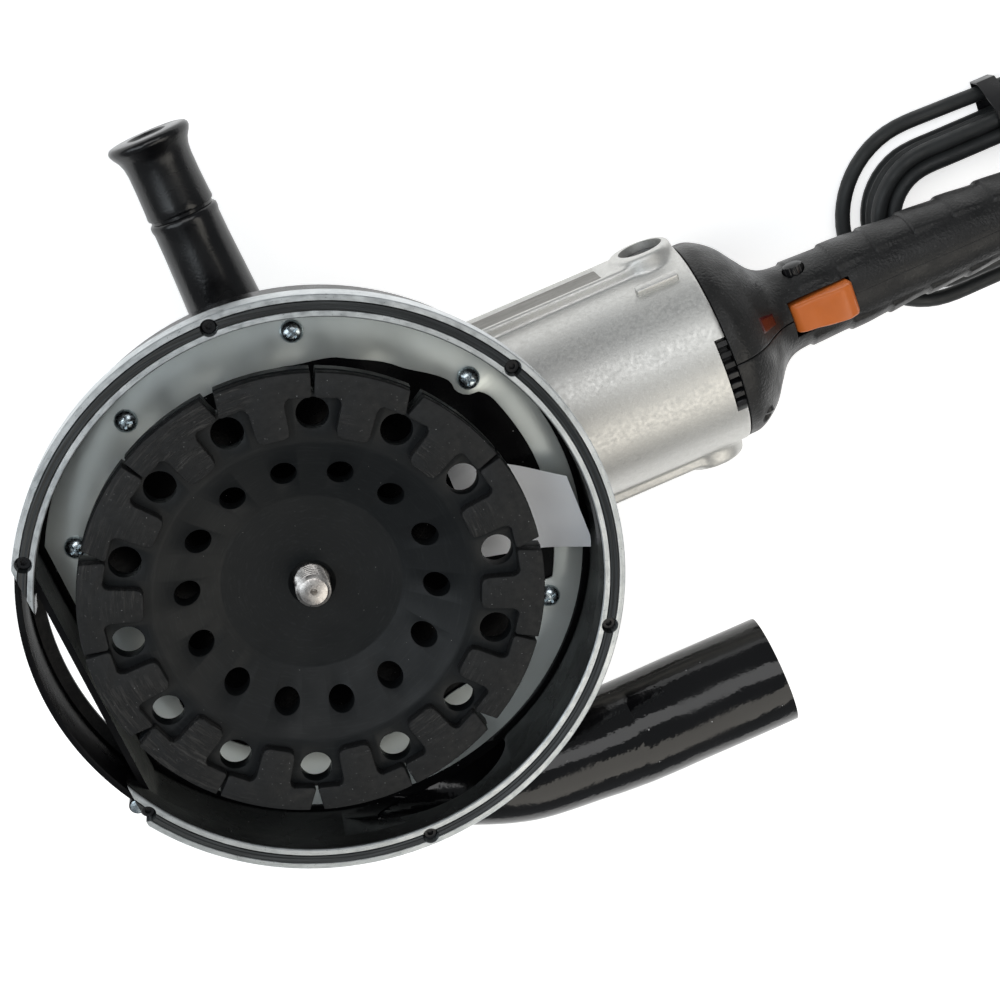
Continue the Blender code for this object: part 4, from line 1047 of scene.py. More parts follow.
def spindle():
    """The spindle with its real thread and a centre-drilled tip."""
    sides = 64
    depth = 0.0011
    bottom = HUB_Z - 0.004
    top = TIP_Z - 0.0010
    rows = math.ceil((top - bottom) / 0.0002)
    rings = []
    foot = low("spindle").z
    lower = [(0.0046, foot), (0.0055, foot + 0.001), (0.0055, 0.0528), (0.0080, 0.0528), (0.0080, 0.0675)]
    lower += [(0.0130, 0.0675), (0.0130, 0.0770), (0.0085, 0.0770), (0.0085, 0.1160), (0.0059, 0.1162)]
    rings += [circle(radius, z, sides) for radius, z in lower]
    for k in range(rows + 1):
        z = bottom + (top - bottom) * k / rows
        ring = []
        for a in turn_angles(sides):
            phase = (z / THREAD_PITCH - a / math.tau) % 1
            radius = SPINDLE_RADIUS - depth * eased(abs(2 * phase - 1) * 1.25)
            radius = min(radius, SPINDLE_RADIUS - 0.0002 + (top - z))
            ring.append((radius * math.cos(a), radius * math.sin(a), z))
        rings.append(ring)
    upper = [(0.0056, TIP_Z - 0.0002), (0.0053, TIP_Z), (0.0014, TIP_Z), (0.0010, TIP_Z - 0.0008)]
    upper += [(0.0004, TIP_Z - 0.0022)]
    rings += [circle(radius, z, sides) for radius, z in upper]
    shaft = skin("spindle_threaded", rings)
    holes = []
    for axis in ("X", "Y"):
        for side in (-1, 1):
            near, far = sorted((side * 0.0084, side * 0.0140))
            holes.append(rod("lock_hole", 0.0027, near, far, axis, (0, 0, LOCK_Z), 24))
    cut(shaft, *holes)
    return dress(shaft, LOOK["spindle"], "wheel_spindle", "spindle", sharp=45)


def turn_angles(sides):
    """The angles of a ring's points."""
    return [i * math.tau / sides for i in range(sides)]


def circle(radius, z, sides):
    """A level ring about the spindle."""
    return [(radius * math.cos(a), radius * math.sin(a), z) for a in turn_angles(sides)]


# ---------------------------------------------------------------- hood


def pivot_spot(z=0.0):
    """Where the edge door turns."""
    x = HOOD_X + PIVOT_RADIUS * math.cos(PIVOT_ANGLE)
    return (x, PIVOT_RADIUS * math.sin(PIVOT_ANGLE), z)


def duct_stations():
    """Centres and radii along the dust duct, with the straight pipe at its end."""
    shoulder = [
        Vector((-0.034, -0.0890, 0.1185)),
        Vector((0.010, -0.1080, 0.1185)),
        Vector((0.045, -0.1210, 0.1165)),
        Vector((0.080, -0.1265, 0.1095)),
        Vector((PIPE_START, PORT_Y, PORT_Z)),
    ]
    radii = (0.0160, 0.0170, 0.0200, 0.0228, 0.0235)
    middle = smooth_route(shoulder, 0.003)
    lengths = [0.0]
    for a, b in zip(middle, middle[1:]):
        lengths.append(lengths[-1] + (b - a).length)
    knots = [lengths[min(range(len(middle)), key=lambda i: (middle[i] - s).length)] for s in shoulder]
    found = []
    for point, way in zip(middle, lengths):
        for k in range(4):
            if way <= knots[k + 1] + 1e-9:
                share = (way - knots[k]) / (knots[k + 1] - knots[k])
                found.append((point, radii[k] + (radii[k + 1] - radii[k]) * share))
                break
    length = PORT_END - PIPE_START
    for k in range(1, 19):
        found.append((Vector((PIPE_START + length * k / 18, PORT_Y, PORT_Z)), radii[-1]))
    return found


def duct_rings(inset, longer=0.0):
    """Cross-sections of the duct, slightly out of round."""
    stations = duct_stations()
    rings = []
    for i, (centre, radius) in enumerate(stations):
        forward = (stations[min(i + 1, len(stations) - 1)][0] - stations[max(i - 1, 0)][0]).normalized()
        across = forward.cross(Vector((0, 0, 1))).normalized()
        up = across.cross(forward)
        ring = []
        for k in range(72):
            angle = k * math.tau / 72
            spot = Vector((centre.x * 45, math.cos(angle) * 1.3, math.sin(angle) * 1.3))
            uneven = 0.00025 * noise.noise(spot)
            reach = radius - inset + (0 if inset else uneven)
            ring.append(centre + (across * math.cos(angle) + up * math.sin(angle)) * reach)
        rings.append(ring)
    if longer:
        rings[-1] = [point + Vector((longer, 0, 0)) for point in rings[-1]]
        rings[0] = [point - Vector((longer, 0, 0)) * 0.3 for point in rings[0]]
    return rings


def dust_port():
    """The duct and the pipe, in black paint, open at the end."""
    port = skin("dust_port_fine", duct_rings(0))
    keep_out = rod("hood_room", HOOD_RADIUS + GAP, 0, 0.2, centre=(HOOD_X, 0, 0), sides=220)
    cut(port, skin("duct_hollow", duct_rings(PORT_WALL, 0.01)), keep_out)
    soften(port, 0.0011, 3, 50)
    return dress(port, LOOK["pipe"], "tool", "dust_port", sharp=45)


def hood_body():
    """The pressed hood: a back plate, a round wall and a straight front."""
    floor = HOOD_BACK + 0.003
    outer = hood_outline(HOOD_RADIUS, CHORD_X)
    inner = hood_outline(HOOD_RADIUS - HOOD_WALL, CHORD_X + HOOD_WALL)
    tight = hood_outline(HOOD_RADIUS - HOOD_WALL - 0.0025, CHORD_X + HOOD_WALL + 0.0025)
    rings = levels(
        (hood_outline(HOOD_RADIUS - 0.0014, CHORD_X + 0.0014), HOOD_BACK),
        (hood_outline(HOOD_RADIUS - 0.0004, CHORD_X + 0.0004), HOOD_BACK + 0.0004),
        (outer, HOOD_BACK + 0.0014),
        (outer, HOOD_TOP),
        (inner, HOOD_TOP),
        (inner, floor + 0.0025),
        (hood_outline(HOOD_RADIUS - HOOD_WALL - 0.0007, CHORD_X + HOOD_WALL + 0.0007), floor + 0.0007),
        (tight, floor),
    )
    hood = skin("hood_body_fine", rings)
    pivot = pivot_spot()
    ear = rod("ear", 0.005, HOOD_BACK, floor, centre=pivot)
    bridge = block("bridge", (pivot[0], pivot[1], HOOD_BACK), (-0.085, pivot[1] + 0.006, floor))
    join(hood, ear, bridge)
    neck = rod("neck", 0.033, HOOD_BACK - 0.01, floor + 0.01, sides=96)
    pin = rod("pin", 0.0021, HOOD_BACK - 0.01, floor + 0.01, centre=pivot)
    below = block("floor", (-0.2, -0.2, 0), (0.2, 0, floor))
    hollow = cut(skin("duct_hollow", duct_rings(PORT_WALL, 0.004)), below)
    cut(hood, neck, pin, hollow)
    return dress(hood, LOOK["gloss"], "tool", "hood_body", sharp=50)


LINER_EDGE = (
    (-180, 0.082),
    (-70, 0.082),
    (-50, 0.090),
    (-27, 0.100),
    (0, 0.1010),
    (20, 0.1005),
    (30, 0.0945),
    (44, 0.0898),
    (58, 0.0873),
    (72, 0.0837),
    (85, 0.082),
    (180, 0.082),
)


def liner_hole_radius(degrees):
    """Radius of the liner's inner edge about the spindle, wider beside the motor."""
    for (a, first), (b, second) in zip(LINER_EDGE, LINER_EDGE[1:]):
        if degrees <= b:
            return first + (second - first) * eased((degrees - a) / (b - a))
    return LINER_EDGE[-1][1]


def screw_spot(degrees, z=0.0):
    """Where a screw of the liner stands."""
    angle = math.radians(degrees)
    return (HOOD_X + SCREW_CIRCLE * math.cos(angle), SCREW_CIRCLE * math.sin(angle), z)


def hood_liner():
    """The bright liner plate, with a lobe round each screw."""
    outer = hood_outline(0.1080, CHORD_X + 0.0048, 239)
    lobes = [screw_spot(d) for d in SCREW_ANGLES]
    inner = []
    for x, y in outer:
        angle = math.atan2(y, x)
        radius = liner_hole_radius(math.degrees(angle))
        for sx, sy, _ in lobes:
            for k in range(60):
                probe = 0.078 + 0.0005 * k
                if math.hypot(probe * math.cos(angle) - sx, probe * math.sin(angle) - sy) < 0.0072:
                    radius = min(radius, probe)
                    break
        inner.append((radius * math.cos(angle), radius * math.sin(angle)))
    liner = plate_with_hole("hood_liner_fine", outer, inner, LINER_LOW, LINER_HIGH)
    soften(liner, 0.0003, 2, 60)
    return dress(liner, LOOK["liner"], "tool", "hood_liner")


def liner_screws():
    """Five pan-head screws with a cross recess, each turned its own way."""
    seat = LINER_HIGH + GAP
    head = 0.0046
    for i, degrees in enumerate(SCREW_ANGLES):
        spot = screw_spot(degrees)
        crown = ((0, 0.0030), (0.0016, 0.00295), (0.0031, 0.0024), (0.0041, 0.0015), (head, 0.0004))
        profile = [(radius, seat + rise) for radius, rise in crown]
        profile += [(head, seat), (0.0019, seat), (0.0019, seat - 0.005), (0, seat - 0.005)]
        screw = lathe("screw", profile, 40, centre=spot)
        turn = math.radians(25 + 41 * i)
        arms = []
        for quarter in range(2):
            arm = block("arm", (-0.0026, -0.00048, seat + 0.0010), (0.0026, 0.00048, seat + 0.006))
            turned = Matrix.Rotation(turn + quarter * math.pi / 2, 4, "Z")
            arm.data.transform(Matrix.Translation(spot) @ turned)
            arms.append(arm)
        cut(screw, *arms)
        soften(screw, 0.00012, 1, 40)
        name = f"liner_screw_{i + 1}"
        dress(screw, LOOK["zinc"], "tool", name).name = name + "_fine"


def hood_rim():
    """The machined rim with black paint on its inner face, the brush strip and the rim's screws."""
    middle = RIM_RADIUS - 0.00425
    outer = middle + 0.0018
    inner = middle - 0.0018
    edge = 0.0004
    face = RIM_RADIUS - RIM_WIDTH
    profile = [
        (RIM_RADIUS - edge, RIM_TOP),
        (RIM_RADIUS, RIM_TOP - edge),
        (RIM_RADIUS, RIM_BASE + edge),
        (RIM_RADIUS - edge, RIM_BASE),
        (face, RIM_BASE),
        (face, RIM_TOP - edge),
        (face + edge, RIM_TOP),
        (inner - 0.0002, RIM_TOP),
        (inner, RIM_TOP - 0.0002),
        (inner, RIM_TOP - 0.006),
        (outer, RIM_TOP - 0.006),
        (outer, RIM_TOP - 0.0002),
        (outer + 0.0002, RIM_TOP),
    ]
    centre = (HOOD_X, 0, 0)
    rim = lathe("hood_rim_fine", profile, 240, ring=True, centre=centre)
    strip_top = high("brush_strip").z
    strip_profile = [
        (outer - 0.0003, strip_top - 0.0003),
        (outer - 0.0003, RIM_TOP - 0.0057),
        (inner + 0.0003, RIM_TOP - 0.0057),
        (inner + 0.0003, strip_top - 0.0003),
        (middle - 0.0009, strip_top),
        (middle - 0.0001, strip_top - 0.0005),
        (middle + 0.0009, strip_top),
    ]
    strip = lathe("brush_strip_fine", strip_profile, 240, ring=True, centre=centre)
    paint_top = RIM_TOP - 0.0012
    paint_profile = [(face + 0.0002, paint_top), (face + 0.0002, RIM_BASE), (face - 0.0002, RIM_BASE)]
    paint_profile += [(face - 0.0002, paint_top)]
    paint = lathe("rim_inner_paint", paint_profile, 240, ring=True, centre=centre)
    spots = []
    for i in range(RIM_SCREWS):
        angle = math.radians(FIRST_RIM_SCREW + 360 / RIM_SCREWS * i)
        spots.append((HOOD_X + middle * math.cos(angle), middle * math.sin(angle), 0))
    for obj in (rim, strip, paint):
        cutters = [block("front", (-0.13, -0.08, 0.13), (CHORD_X - 0.002, 0.08, 0.16))]
        for spot in spots:
            cutters.append(rod("pocket", 0.0033, RIM_TOP - 0.0055, RIM_TOP + 0.01, centre=spot))
        cut(obj, *cutters)
    soften(rim, 0.0002, 1, 60)
    dress(rim, LOOK["rim"], "tool", "hood_rim")
    dress(strip, LOOK["bristle"], "tool", "brush_strip")
    dress(paint, LOOK["gloss"], "tool")
    screws = []
    for spot in spots:
        profile = [(0, RIM_TOP - 0.0042), (0.0010, RIM_TOP - 0.0042), (0.0013, RIM_TOP - 0.0028)]
        profile += [(0.0024, RIM_TOP - 0.0028), (0.0029, RIM_TOP - 0.0034), (0.0029, RIM_TOP - 0.0054)]
        profile += [(0, RIM_TOP - 0.0054)]
        screws.append(lathe("rim_screw", profile, 24, centre=spot))
    dress(merged("rim_screws", screws), LOOK["smooth"], "tool")


def edge_door():
    """The curved door over the straight front, with its lower lip, its hinge barrel and the pin."""
    start = -PIVOT_ANGLE
    end = math.tau + PIVOT_ANGLE
    centre = (HOOD_X, 0)
    inside = DOOR_RADIUS - DOOR_WALL
    outline = arc(centre, DOOR_RADIUS, start, end, 90) + arc(centre, inside, end, start, 90)
    door = slab("edge_door_fine", outline, DOOR_LOW, DOOR_TOP)
    outline = arc(centre, inside + 0.0005, start, end, 90)
    outline += arc(centre, inside - LIP_WIDTH, end, start, 90)
    lip = slab("lip", outline, DOOR_LOW, DOOR_LOW + LIP_THICK)
    cut(lip, block("trim", (CHORD_X - 0.0006, -0.2, 0), (0, 0.2, 0.2)))
    join(door, lip)
    barrel = rod("barrel", 0.0035, DOOR_LOW, DOOR_TOP, centre=pivot_spot(), sides=40)
    join(door, barrel)
    cut(door, rod("bore", 0.0021, DOOR_LOW - 0.01, DOOR_TOP + 0.01, centre=pivot_spot()))
    soften(door, 0.0005, 2, 50)
    dress(door, LOOK["gloss"], "door", "edge_door", sharp=45)
    profile = [(0, DOOR_TOP + 0.0014), (0.0014, DOOR_TOP + 0.0014), (0.0029, DOOR_TOP + 0.0010)]
    profile += [(0.0030, DOOR_TOP + 0.0003), (0.0018, DOOR_TOP + 0.0003), (0.0018, HOOD_BACK), (0, HOOD_BACK)]
    pin = lathe("door_pin_fine", profile, 32, centre=pivot_spot())
    dress(pin, LOOK["zinc"], "tool", "door_pin")


def hood_clamp():
    """The split clamp ring, its ears and its screw."""
    bottom = low("hood_clamp").z
    top = high("hood_clamp").z
    ring_profile = [(0.0353, top), (0.0353, bottom), (0.0298, bottom), (0.0298, top)]
    ring = lathe("hood_clamp_fine", ring_profile, 96, ring=True)
    join(ring, block("ears", (-0.046, -0.006, bottom), (-0.0310, 0.006, top)))
    spot = (-0.0405, 0, (bottom + top) / 2)
    slot = block("slot", (-0.05, -0.001, bottom - 0.01), (-0.02, 0.001, top + 0.01))
    cut(ring, slot, rod("hole", 0.0028, -0.02, 0.02, "Y", spot))
    soften(ring, 0.0006, 2, 45)
    dress(ring, LOOK["rim"], "tool", "hood_clamp")
    profile = [(0, 0.0090), (0.0024, 0.0090), (0.0026, 0.0110), (0.0040, 0.0110), (0.0045, 0.0105)]
    profile += [(0.0045, 0.0063), (0.0025, 0.0063), (0.0025, -0.0090), (0, -0.0090)]
    screw = lathe("clamp_screw_fine", profile, 32, axis="Y", centre=spot)
    dress(screw, LOOK["zinc"], "tool", "clamp_screw")


def sticker():
    """A blank white sticker that has come partly unstuck and curls up the hood's wall."""
    corners = ((0.066, 0.020), (0.066, -0.026), (0.109, -0.0370), (0.109, -0.0030))
    steps = 22
    rings = []
    for i in range(steps + 1):
        u = i / steps
        near = Vector(corners[0]).lerp(Vector(corners[3]), u)
        far = Vector(corners[1]).lerp(Vector(corners[2]), u)
        lift = 0.0004 + 0.0155 * eased((u - 0.45) / 0.75)
        row = []
        for k in range(13):
            v = k / 12
            spot = near.lerp(far, v)
            bow = 0.0007 * math.sin(math.pi * v) * u
            reach = math.hypot(spot.x - HOOD_X, spot.y)
            limit = HOOD_RADIUS - HOOD_WALL - 0.0012
            if reach > limit:
                spot = Vector((HOOD_X, 0)) + (spot - Vector((HOOD_X, 0))) * limit / reach
            row.append((spot.x, spot.y, LINER_HIGH + lift * (1 - 0.25 * v) + bow))
        rings.append(row)
    dress(sheet("blank_sticker", rings, 0.00012), LOOK["paper"], "tool")


# ---------------------------------------------------------------- gear head and motor


def gear_head():
    """The cast gear head, the bearing flange and their screws."""
    half = HEAD_RADIUS
    end = high("gear_housing").x
    outline = [(end, -half), (end, half)]
    outline += arc((0, 0), half, math.pi / 2, 3 * math.pi / 2, 48)
    head = slab("gear_housing_fine", outline, 0.007, HEAD_TOP)
    pad = rod("pad", 0.028, 0, 0.010, sides=64)
    boss = rod("boss", 0.012, 0.030, 0.043, "Y", (SIDE_X, 0, MOTOR_Z), 48)
    far_boss = rod("far_boss", 0.012, -0.0385, -0.030, "Y", (SIDE_X, 0, MOTOR_Z), 48)
    lock_boss = rod("lock_boss", 0.0078, -HEAD_RADIUS - 0.0014, -0.033, "Y", (0, 0, LOCK_Z), 48)
    join(head, pad, boss, far_boss, lock_boss)
    corners = []
    for y in (-1, 1):
        for z in (0.014, 0.074):
            corners.append(rod("corner", 0.0056, 0.034, end, "X", (0, y * (half - 0.0036), z), 32))
    join(head, *corners)
    melt(head, 0.0009, 8)
    hollow = rod("hollow", 0.031, 0.0298, HEAD_TOP + 0.01, sides=64)
    room = rod("room", 0.026, 0.013, 0.060, "X", (0, 0, MOTOR_Z), 48)
    pocket = rod("pocket", 0.0113, 0.0205, 0.032, sides=48)
    guide = rod("guide", 0.0050, -0.050, -0.025, "Y", (0, 0, LOCK_Z))
    stud = rod("stud", 0.0063, 0.0303, 0.050, "Y", (SIDE_X, 0, MOTOR_Z))
    spare = rod("spare", 0.0060, -0.050, -0.0330, "Y", (SIDE_X, 0, MOTOR_Z))
    cut(head, hollow, room, pocket, guide, stud, spare)
    dress(head, LOOK["silver"], "tool", "gear_housing", sharp=50)

    base = low("bearing_flange").z
    top = high("bearing_flange").z
    disc = base + 0.006
    profile = [
        (0.0291, top),
        (0.0295, top - 0.0004),
        (0.0295, disc + 0.0006),
        (0.0301, disc),
        (HEAD_RADIUS - 0.0016, disc),
        (HEAD_RADIUS - 0.0010, disc - 0.0006),
        (HEAD_RADIUS - 0.0010, base),
        (0.0178, base),
        (0.0178, 0.1023),
        (0.0091, 0.1023),
        (0.0091, top),
    ]
    flange = lathe("bearing_flange_fine", profile, 96, ring=True)
    dress(flange, LOOK["silver"], "tool", "bearing_flange")
    for i in range(4):
        node = f"flange_screw_{i + 1}"
        x = (low(node).x + high(node).x) / 2
        y = (low(node).y + high(node).y) / 2
        foot = low(node).z
        crown = high(node).z
        profile = [(0, crown - 0.0012), (0.0012, crown - 0.0012), (0.0014, crown), (0.0022, crown)]
        profile += [(0.0026, crown - 0.0004), (0.0026, crown - 0.0022), (0.0015, crown - 0.0022)]
        profile += [(0.0015, foot), (0, foot)]
        screw = lathe(node + "_fine", profile, 24, centre=(x, y, 0))
        dress(screw, LOOK["zinc"], "tool", node)

    axis = (0, 0, LOCK_Z)
    back = low("spindle_lock").y
    profile = [(0, -0.0138), (0.0022, -0.0138), (0.0023, -0.030), (0.0044, -0.030), (0.0044, back + 0.0006)]
    profile += [(0.0038, back), (0.0026, back + 0.0003), (0, back + 0.0005)]
    button = lathe("spindle_lock_fine", profile, 32, axis="Y", centre=axis)
    dress(button, LOOK["smooth"], "spindle_stop", "spindle_lock")


def motor_housing():
    """The cast motor tube with its rails, brush bosses, back pad and cooling slots."""
    axis = (0, 0, MOTOR_Z)
    profile = [
        (0, MOTOR_END),
        (MOTOR_RADIUS, MOTOR_END),
        (MOTOR_RADIUS - 0.0008, 0.085),
        (MOTOR_RADIUS - 0.0028, MOTOR_START),
        (0, MOTOR_START),
    ]
    tube = lathe("motor_housing_fine", profile, 144, axis="X", centre=axis)
    parts = []
    for side in (-1, 1):
        half = 0.0128
        rear = BRUSH_X - 0.004
        near, far = sorted((side * 0.036, side * (RAIL_REACH - 0.0003)))
        parts.append(block("rail", (0.0545, near, MOTOR_Z - half), (rear, far, MOTOR_Z + half)))
        outline = ((0, BOSS_REACH), (0.0136, BOSS_REACH), (0.0150, 0.040), (0, 0.036))
        profile = [(radius, side * reach) for radius, reach in outline]
        parts.append(lathe("boss", profile, 64, axis="Y", centre=(BRUSH_X - 0.0010, 0, MOTOR_Z)))
    parts.append(block("pad", (0.070, -0.025, 0.0003), (0.182, 0.025, 0.014)))
    parts.append(rod("collar", MOTOR_RADIUS + 0.0004, MOTOR_START, MOTOR_START + 0.006, "X", axis, 96))
    join(tube, *parts)
    channels = []
    for side in (-1, 1):
        near, far = sorted((side * (RAIL_REACH - 0.0019), side * 0.06))
        channels.append(block("channel", (0.0600, near, MOTOR_Z - 0.0098), (0.1600, far, MOTOR_Z + 0.0098)))
    cut(tube, *channels)
    melt(tube, 0.0008, 16)
    holes = [rod("bore", 0.0408, MOTOR_START + 0.003, 0.2, "X", axis, 96)]
    holes.append(rod("mouth", 0.029, 0.05, 0.06, "X", axis, 64))
    holes.append(rod("ports", 0.0098, -0.06, 0.06, "Y", (BRUSH_X, 0, MOTOR_Z), 48))
    holes.append(notch_sector(17, -27))
    holes.append(notch_sector(197, 153))
    cut(tube, *holes)
    dress(tube, LOOK["silver"], "tool", "motor_housing", sharp=50)
    channel_shade_inlays()
    combs()
    housing_bar()


def channel_shade_inlays():
    """A dark inlay over the bottom of each rail's channel, which paints the recess's shade."""
    for word, side in (("left", 1), ("right", -1)):
        near, far = sorted((side * (RAIL_REACH - 0.0024), side * (RAIL_REACH - 0.0016)))
        corner = (0.0605, near, MOTOR_Z - 0.0092)
        shade_inlay = block(f"rail_channel_{word}", corner, (0.1595, far, MOTOR_Z + 0.0092))
        # painted shade: the darker metal stands in for the shade in the channel
        dress(shade_inlay, LOOK["channel_shade"], "tool")


def notch_sector(start, end):
    """A cutter for the air slot at the housing's rear edge, by its angles from +Z towards +Y."""
    rings = []
    count = 16
    for x in (MOTOR_END - 0.0052, MOTOR_END + 0.002):
        ring = []
        for radius in (0.0385, 0.050):
            angles = [math.radians(start + (end - start) * k / count) for k in range(count + 1)]
            if radius > 0.04:
                angles.reverse()
            ring += [(x, radius * math.sin(a), MOTOR_Z + radius * math.cos(a)) for a in angles]
        rings.append(ring)
    return skin("notch", rings)


def combs():
    """The dark comb of the handle that shows in each air slot."""
    teeth = []
    for start, end in ((17, -27), (197, 153)):
        count = 7
        for k in range(count):
            angle = math.radians(start + (end - start) * (k + 0.5) / count)
            corner = (MOTOR_END - 0.0048, -0.0014, 0.0395)
            tooth = block("tooth", corner, (MOTOR_END + 0.0002, 0.0014, 0.0440))
            turn = Matrix.Translation((0, 0, MOTOR_Z)) @ Matrix.Rotation(-angle, 4, "X")
            tooth.data.transform(turn)
            teeth.append(tooth)
    comb = merged("vent_comb", teeth)
    soften(comb, 0.0004, 1)
    dress(comb, LOOK["smooth"], "tool")


def housing_bar():
    """The small raised bar beside the brush boss."""
    bar = block("housing_bar", (0.1685, -0.0018, 0.0435), (0.1875, 0.0018, 0.0480))
    turn = Matrix.Translation((0, 0, MOTOR_Z)) @ Matrix.Rotation(math.radians(-60), 4, "X")
    bar.data.transform(turn)
    soften(bar, 0.0007, 3)
    dress(bar, LOOK["silver"], "tool")


def brush_caps():
    """The slotted screw caps over the carbon brushes."""
    for word, side in (("left", 1), ("right", -1)):
        face = side * 0.048
        seat = side * 0.0425
        profile = [(0, face), (0.0078, face), (0.0092, face - side * 0.0012), (0.0092, seat), (0, seat)]
        spot = (BRUSH_X, 0, MOTOR_Z)
        cap = lathe(f"brush_cap_{word}_fine", profile, 48, axis="Y", centre=spot)
        near, far = sorted((side * 0.0463, side * 0.052))
        slot_start = (BRUSH_X - 0.0060, near, MOTOR_Z - 0.0009)
        cut(cap, block("slot", slot_start, (BRUSH_X + 0.0060, far, MOTOR_Z + 0.0009)))
        soften(cap, 0.0003, 1)
        dress(cap, LOOK["smooth"], "tool", f"brush_cap_{word}")


# ---------------------------------------------------------------- rear handle


GRIP_STATIONS = (
    (0.1943, 0.0447, 0.0447),
    (0.2000, 0.0442, 0.0442),
    (0.2060, 0.0410, 0.0410),
    (0.2110, 0.0366, 0.0366),
    (0.2160, 0.0298, 0.0302),
    (0.2210, 0.0234, 0.0248),
    (0.2260, 0.0200, 0.0222),
    (0.2330, 0.0188, 0.0210),
    (0.2520, 0.0192, 0.0206),
    (0.2660, 0.0195, 0.0206),
    (0.2840, 0.0186, 0.0194),
    (0.3050, 0.0184, 0.0198),
    (0.3450, 0.0172, 0.0188),
    (0.3840, 0.0180, 0.0200),
    (0.3960, 0.0185, 0.0205),
    (0.4000, 0.0165, 0.0185),
)
FIRST_STEP = 0.2540
STEP_SPACING = 0.0187


def grip_half_sizes(x):
    """Half width and half height of the handle at a place along it, smooth through the stations."""
    stations = [GRIP_STATIONS[0], *GRIP_STATIONS, GRIP_STATIONS[-1]]
    for a, b, c, d in zip(stations, stations[1:], stations[2:], stations[3:]):
        if x <= c[0] or c is stations[-2]:
            t = min(max((x - b[0]) / (c[0] - b[0]), 0), 1)
            found = []
            for k in (1, 2):
                before = (c[k] - a[k]) / max(c[0] - a[0], 1e-6) * (c[0] - b[0])
                after = (d[k] - b[k]) / max(d[0] - b[0], 1e-6) * (c[0] - b[0])
                found.append(
                    (2 * t**3 - 3 * t**2 + 1) * b[k]
                    + (t**3 - 2 * t**2 + t) * before
                    + (3 * t**2 - 2 * t**3) * c[k]
                    + (t**3 - t**2) * after
                )
            return found
    return GRIP_STATIONS[-1][1:]


def grip_relief(x, angle):
    """How far the surface stands off its plain shape: ribs on the sides and back, flat panel on the face.

    The angle is 0 at the face with the trigger and grows towards each side.
    """
    away = abs(angle)
    relief = 0.0
    if x > FIRST_STEP - 0.03:
        edge = 0.62 + 0.10 * math.sin((x - FIRST_STEP) * 30)
        side = eased((away - edge) / 0.10)
        way = (x - FIRST_STEP) / STEP_SPACING
        share = way - math.floor(way)
        lip = eased(share / 0.035) * (1 - 0.75 * eased((share - 0.035) / 0.965))
        if -1.2 < way < 7.3:
            relief += (0.00125 * lip - 0.0004) * side
        if x > FIRST_STEP:
            relief -= 0.0004 * (1 - side)
    if x > HANDLE_END - 0.013:
        relief += 0.0004
    return relief


def handle_surface():
    """The whole handle as one fine surface."""
    rings = []
    step = 0.0006
    count = math.ceil((HANDLE_END - HANDLE_START) / step)
    sides = 128
    for i in range(count + 1):
        x = HANDLE_START + (HANDLE_END - HANDLE_START) * i / count
        half_y, half_z = grip_half_sizes(x)
        ring = []
        for k in range(sides):
            angle = (k + 0.5) * math.tau / sides - math.pi
            reach = grip_relief(x, angle)
            y = (half_y + reach) * math.sin(angle)
            z = (half_z + reach) * math.cos(angle)
            ring.append((x, y, MOTOR_Z + z))
        rings.append(ring)
    return skin("handle", rings)


def handle_hollow():
    """The inside of the handle."""
    rings = []
    mouth = (0.184, 0.0417, 0.0417)
    last = (HANDLE_END - 0.003, 0.0165, 0.0185)
    for x, half_y, half_z in (mouth, *GRIP_STATIONS[1:-1], last):
        ring = []
        for k in range(48):
            angle = k * math.tau / 48
            ring.append((x, (half_y - 0.003) * math.sin(angle), MOTOR_Z + (half_z - 0.003) * math.cos(angle)))
        rings.append(ring)
    return skin("handle_hollow", rings)


# Seats of the shell screws, which all go in from the right: on the bell and along the grip
SHELL_SCREWS = (
    (0.2030, -0.0290, MOTOR_Z + 0.0290),
    (0.2900, -0.0152, MOTOR_Z - 0.004),
    (0.3830, -0.0152, MOTOR_Z),
)


def shell_screw_heads():
    """The cross-recess heads of the shell screws."""
    heads = []
    for x, y, z in SHELL_SCREWS:
        inner = y + 0.0014
        outer = y - 0.0016
        profile = [(0, outer), (0.0022, outer), (0.0031, outer + 0.0009), (0.0031, inner), (0, inner)]
        head = lathe("head", profile, 32, axis="Y", centre=(x, 0, z))
        for wide, tall in ((0.0018, 0.0004), (0.0004, 0.0018)):
            cross = block("cross", (x - wide, outer - 0.002, z - tall), (x + wide, outer + 0.0012, z + tall))
            cut(head, cross)
        heads.append(head)
    dress(merged("shell_screws_right", heads), LOOK["smooth"], "tool")


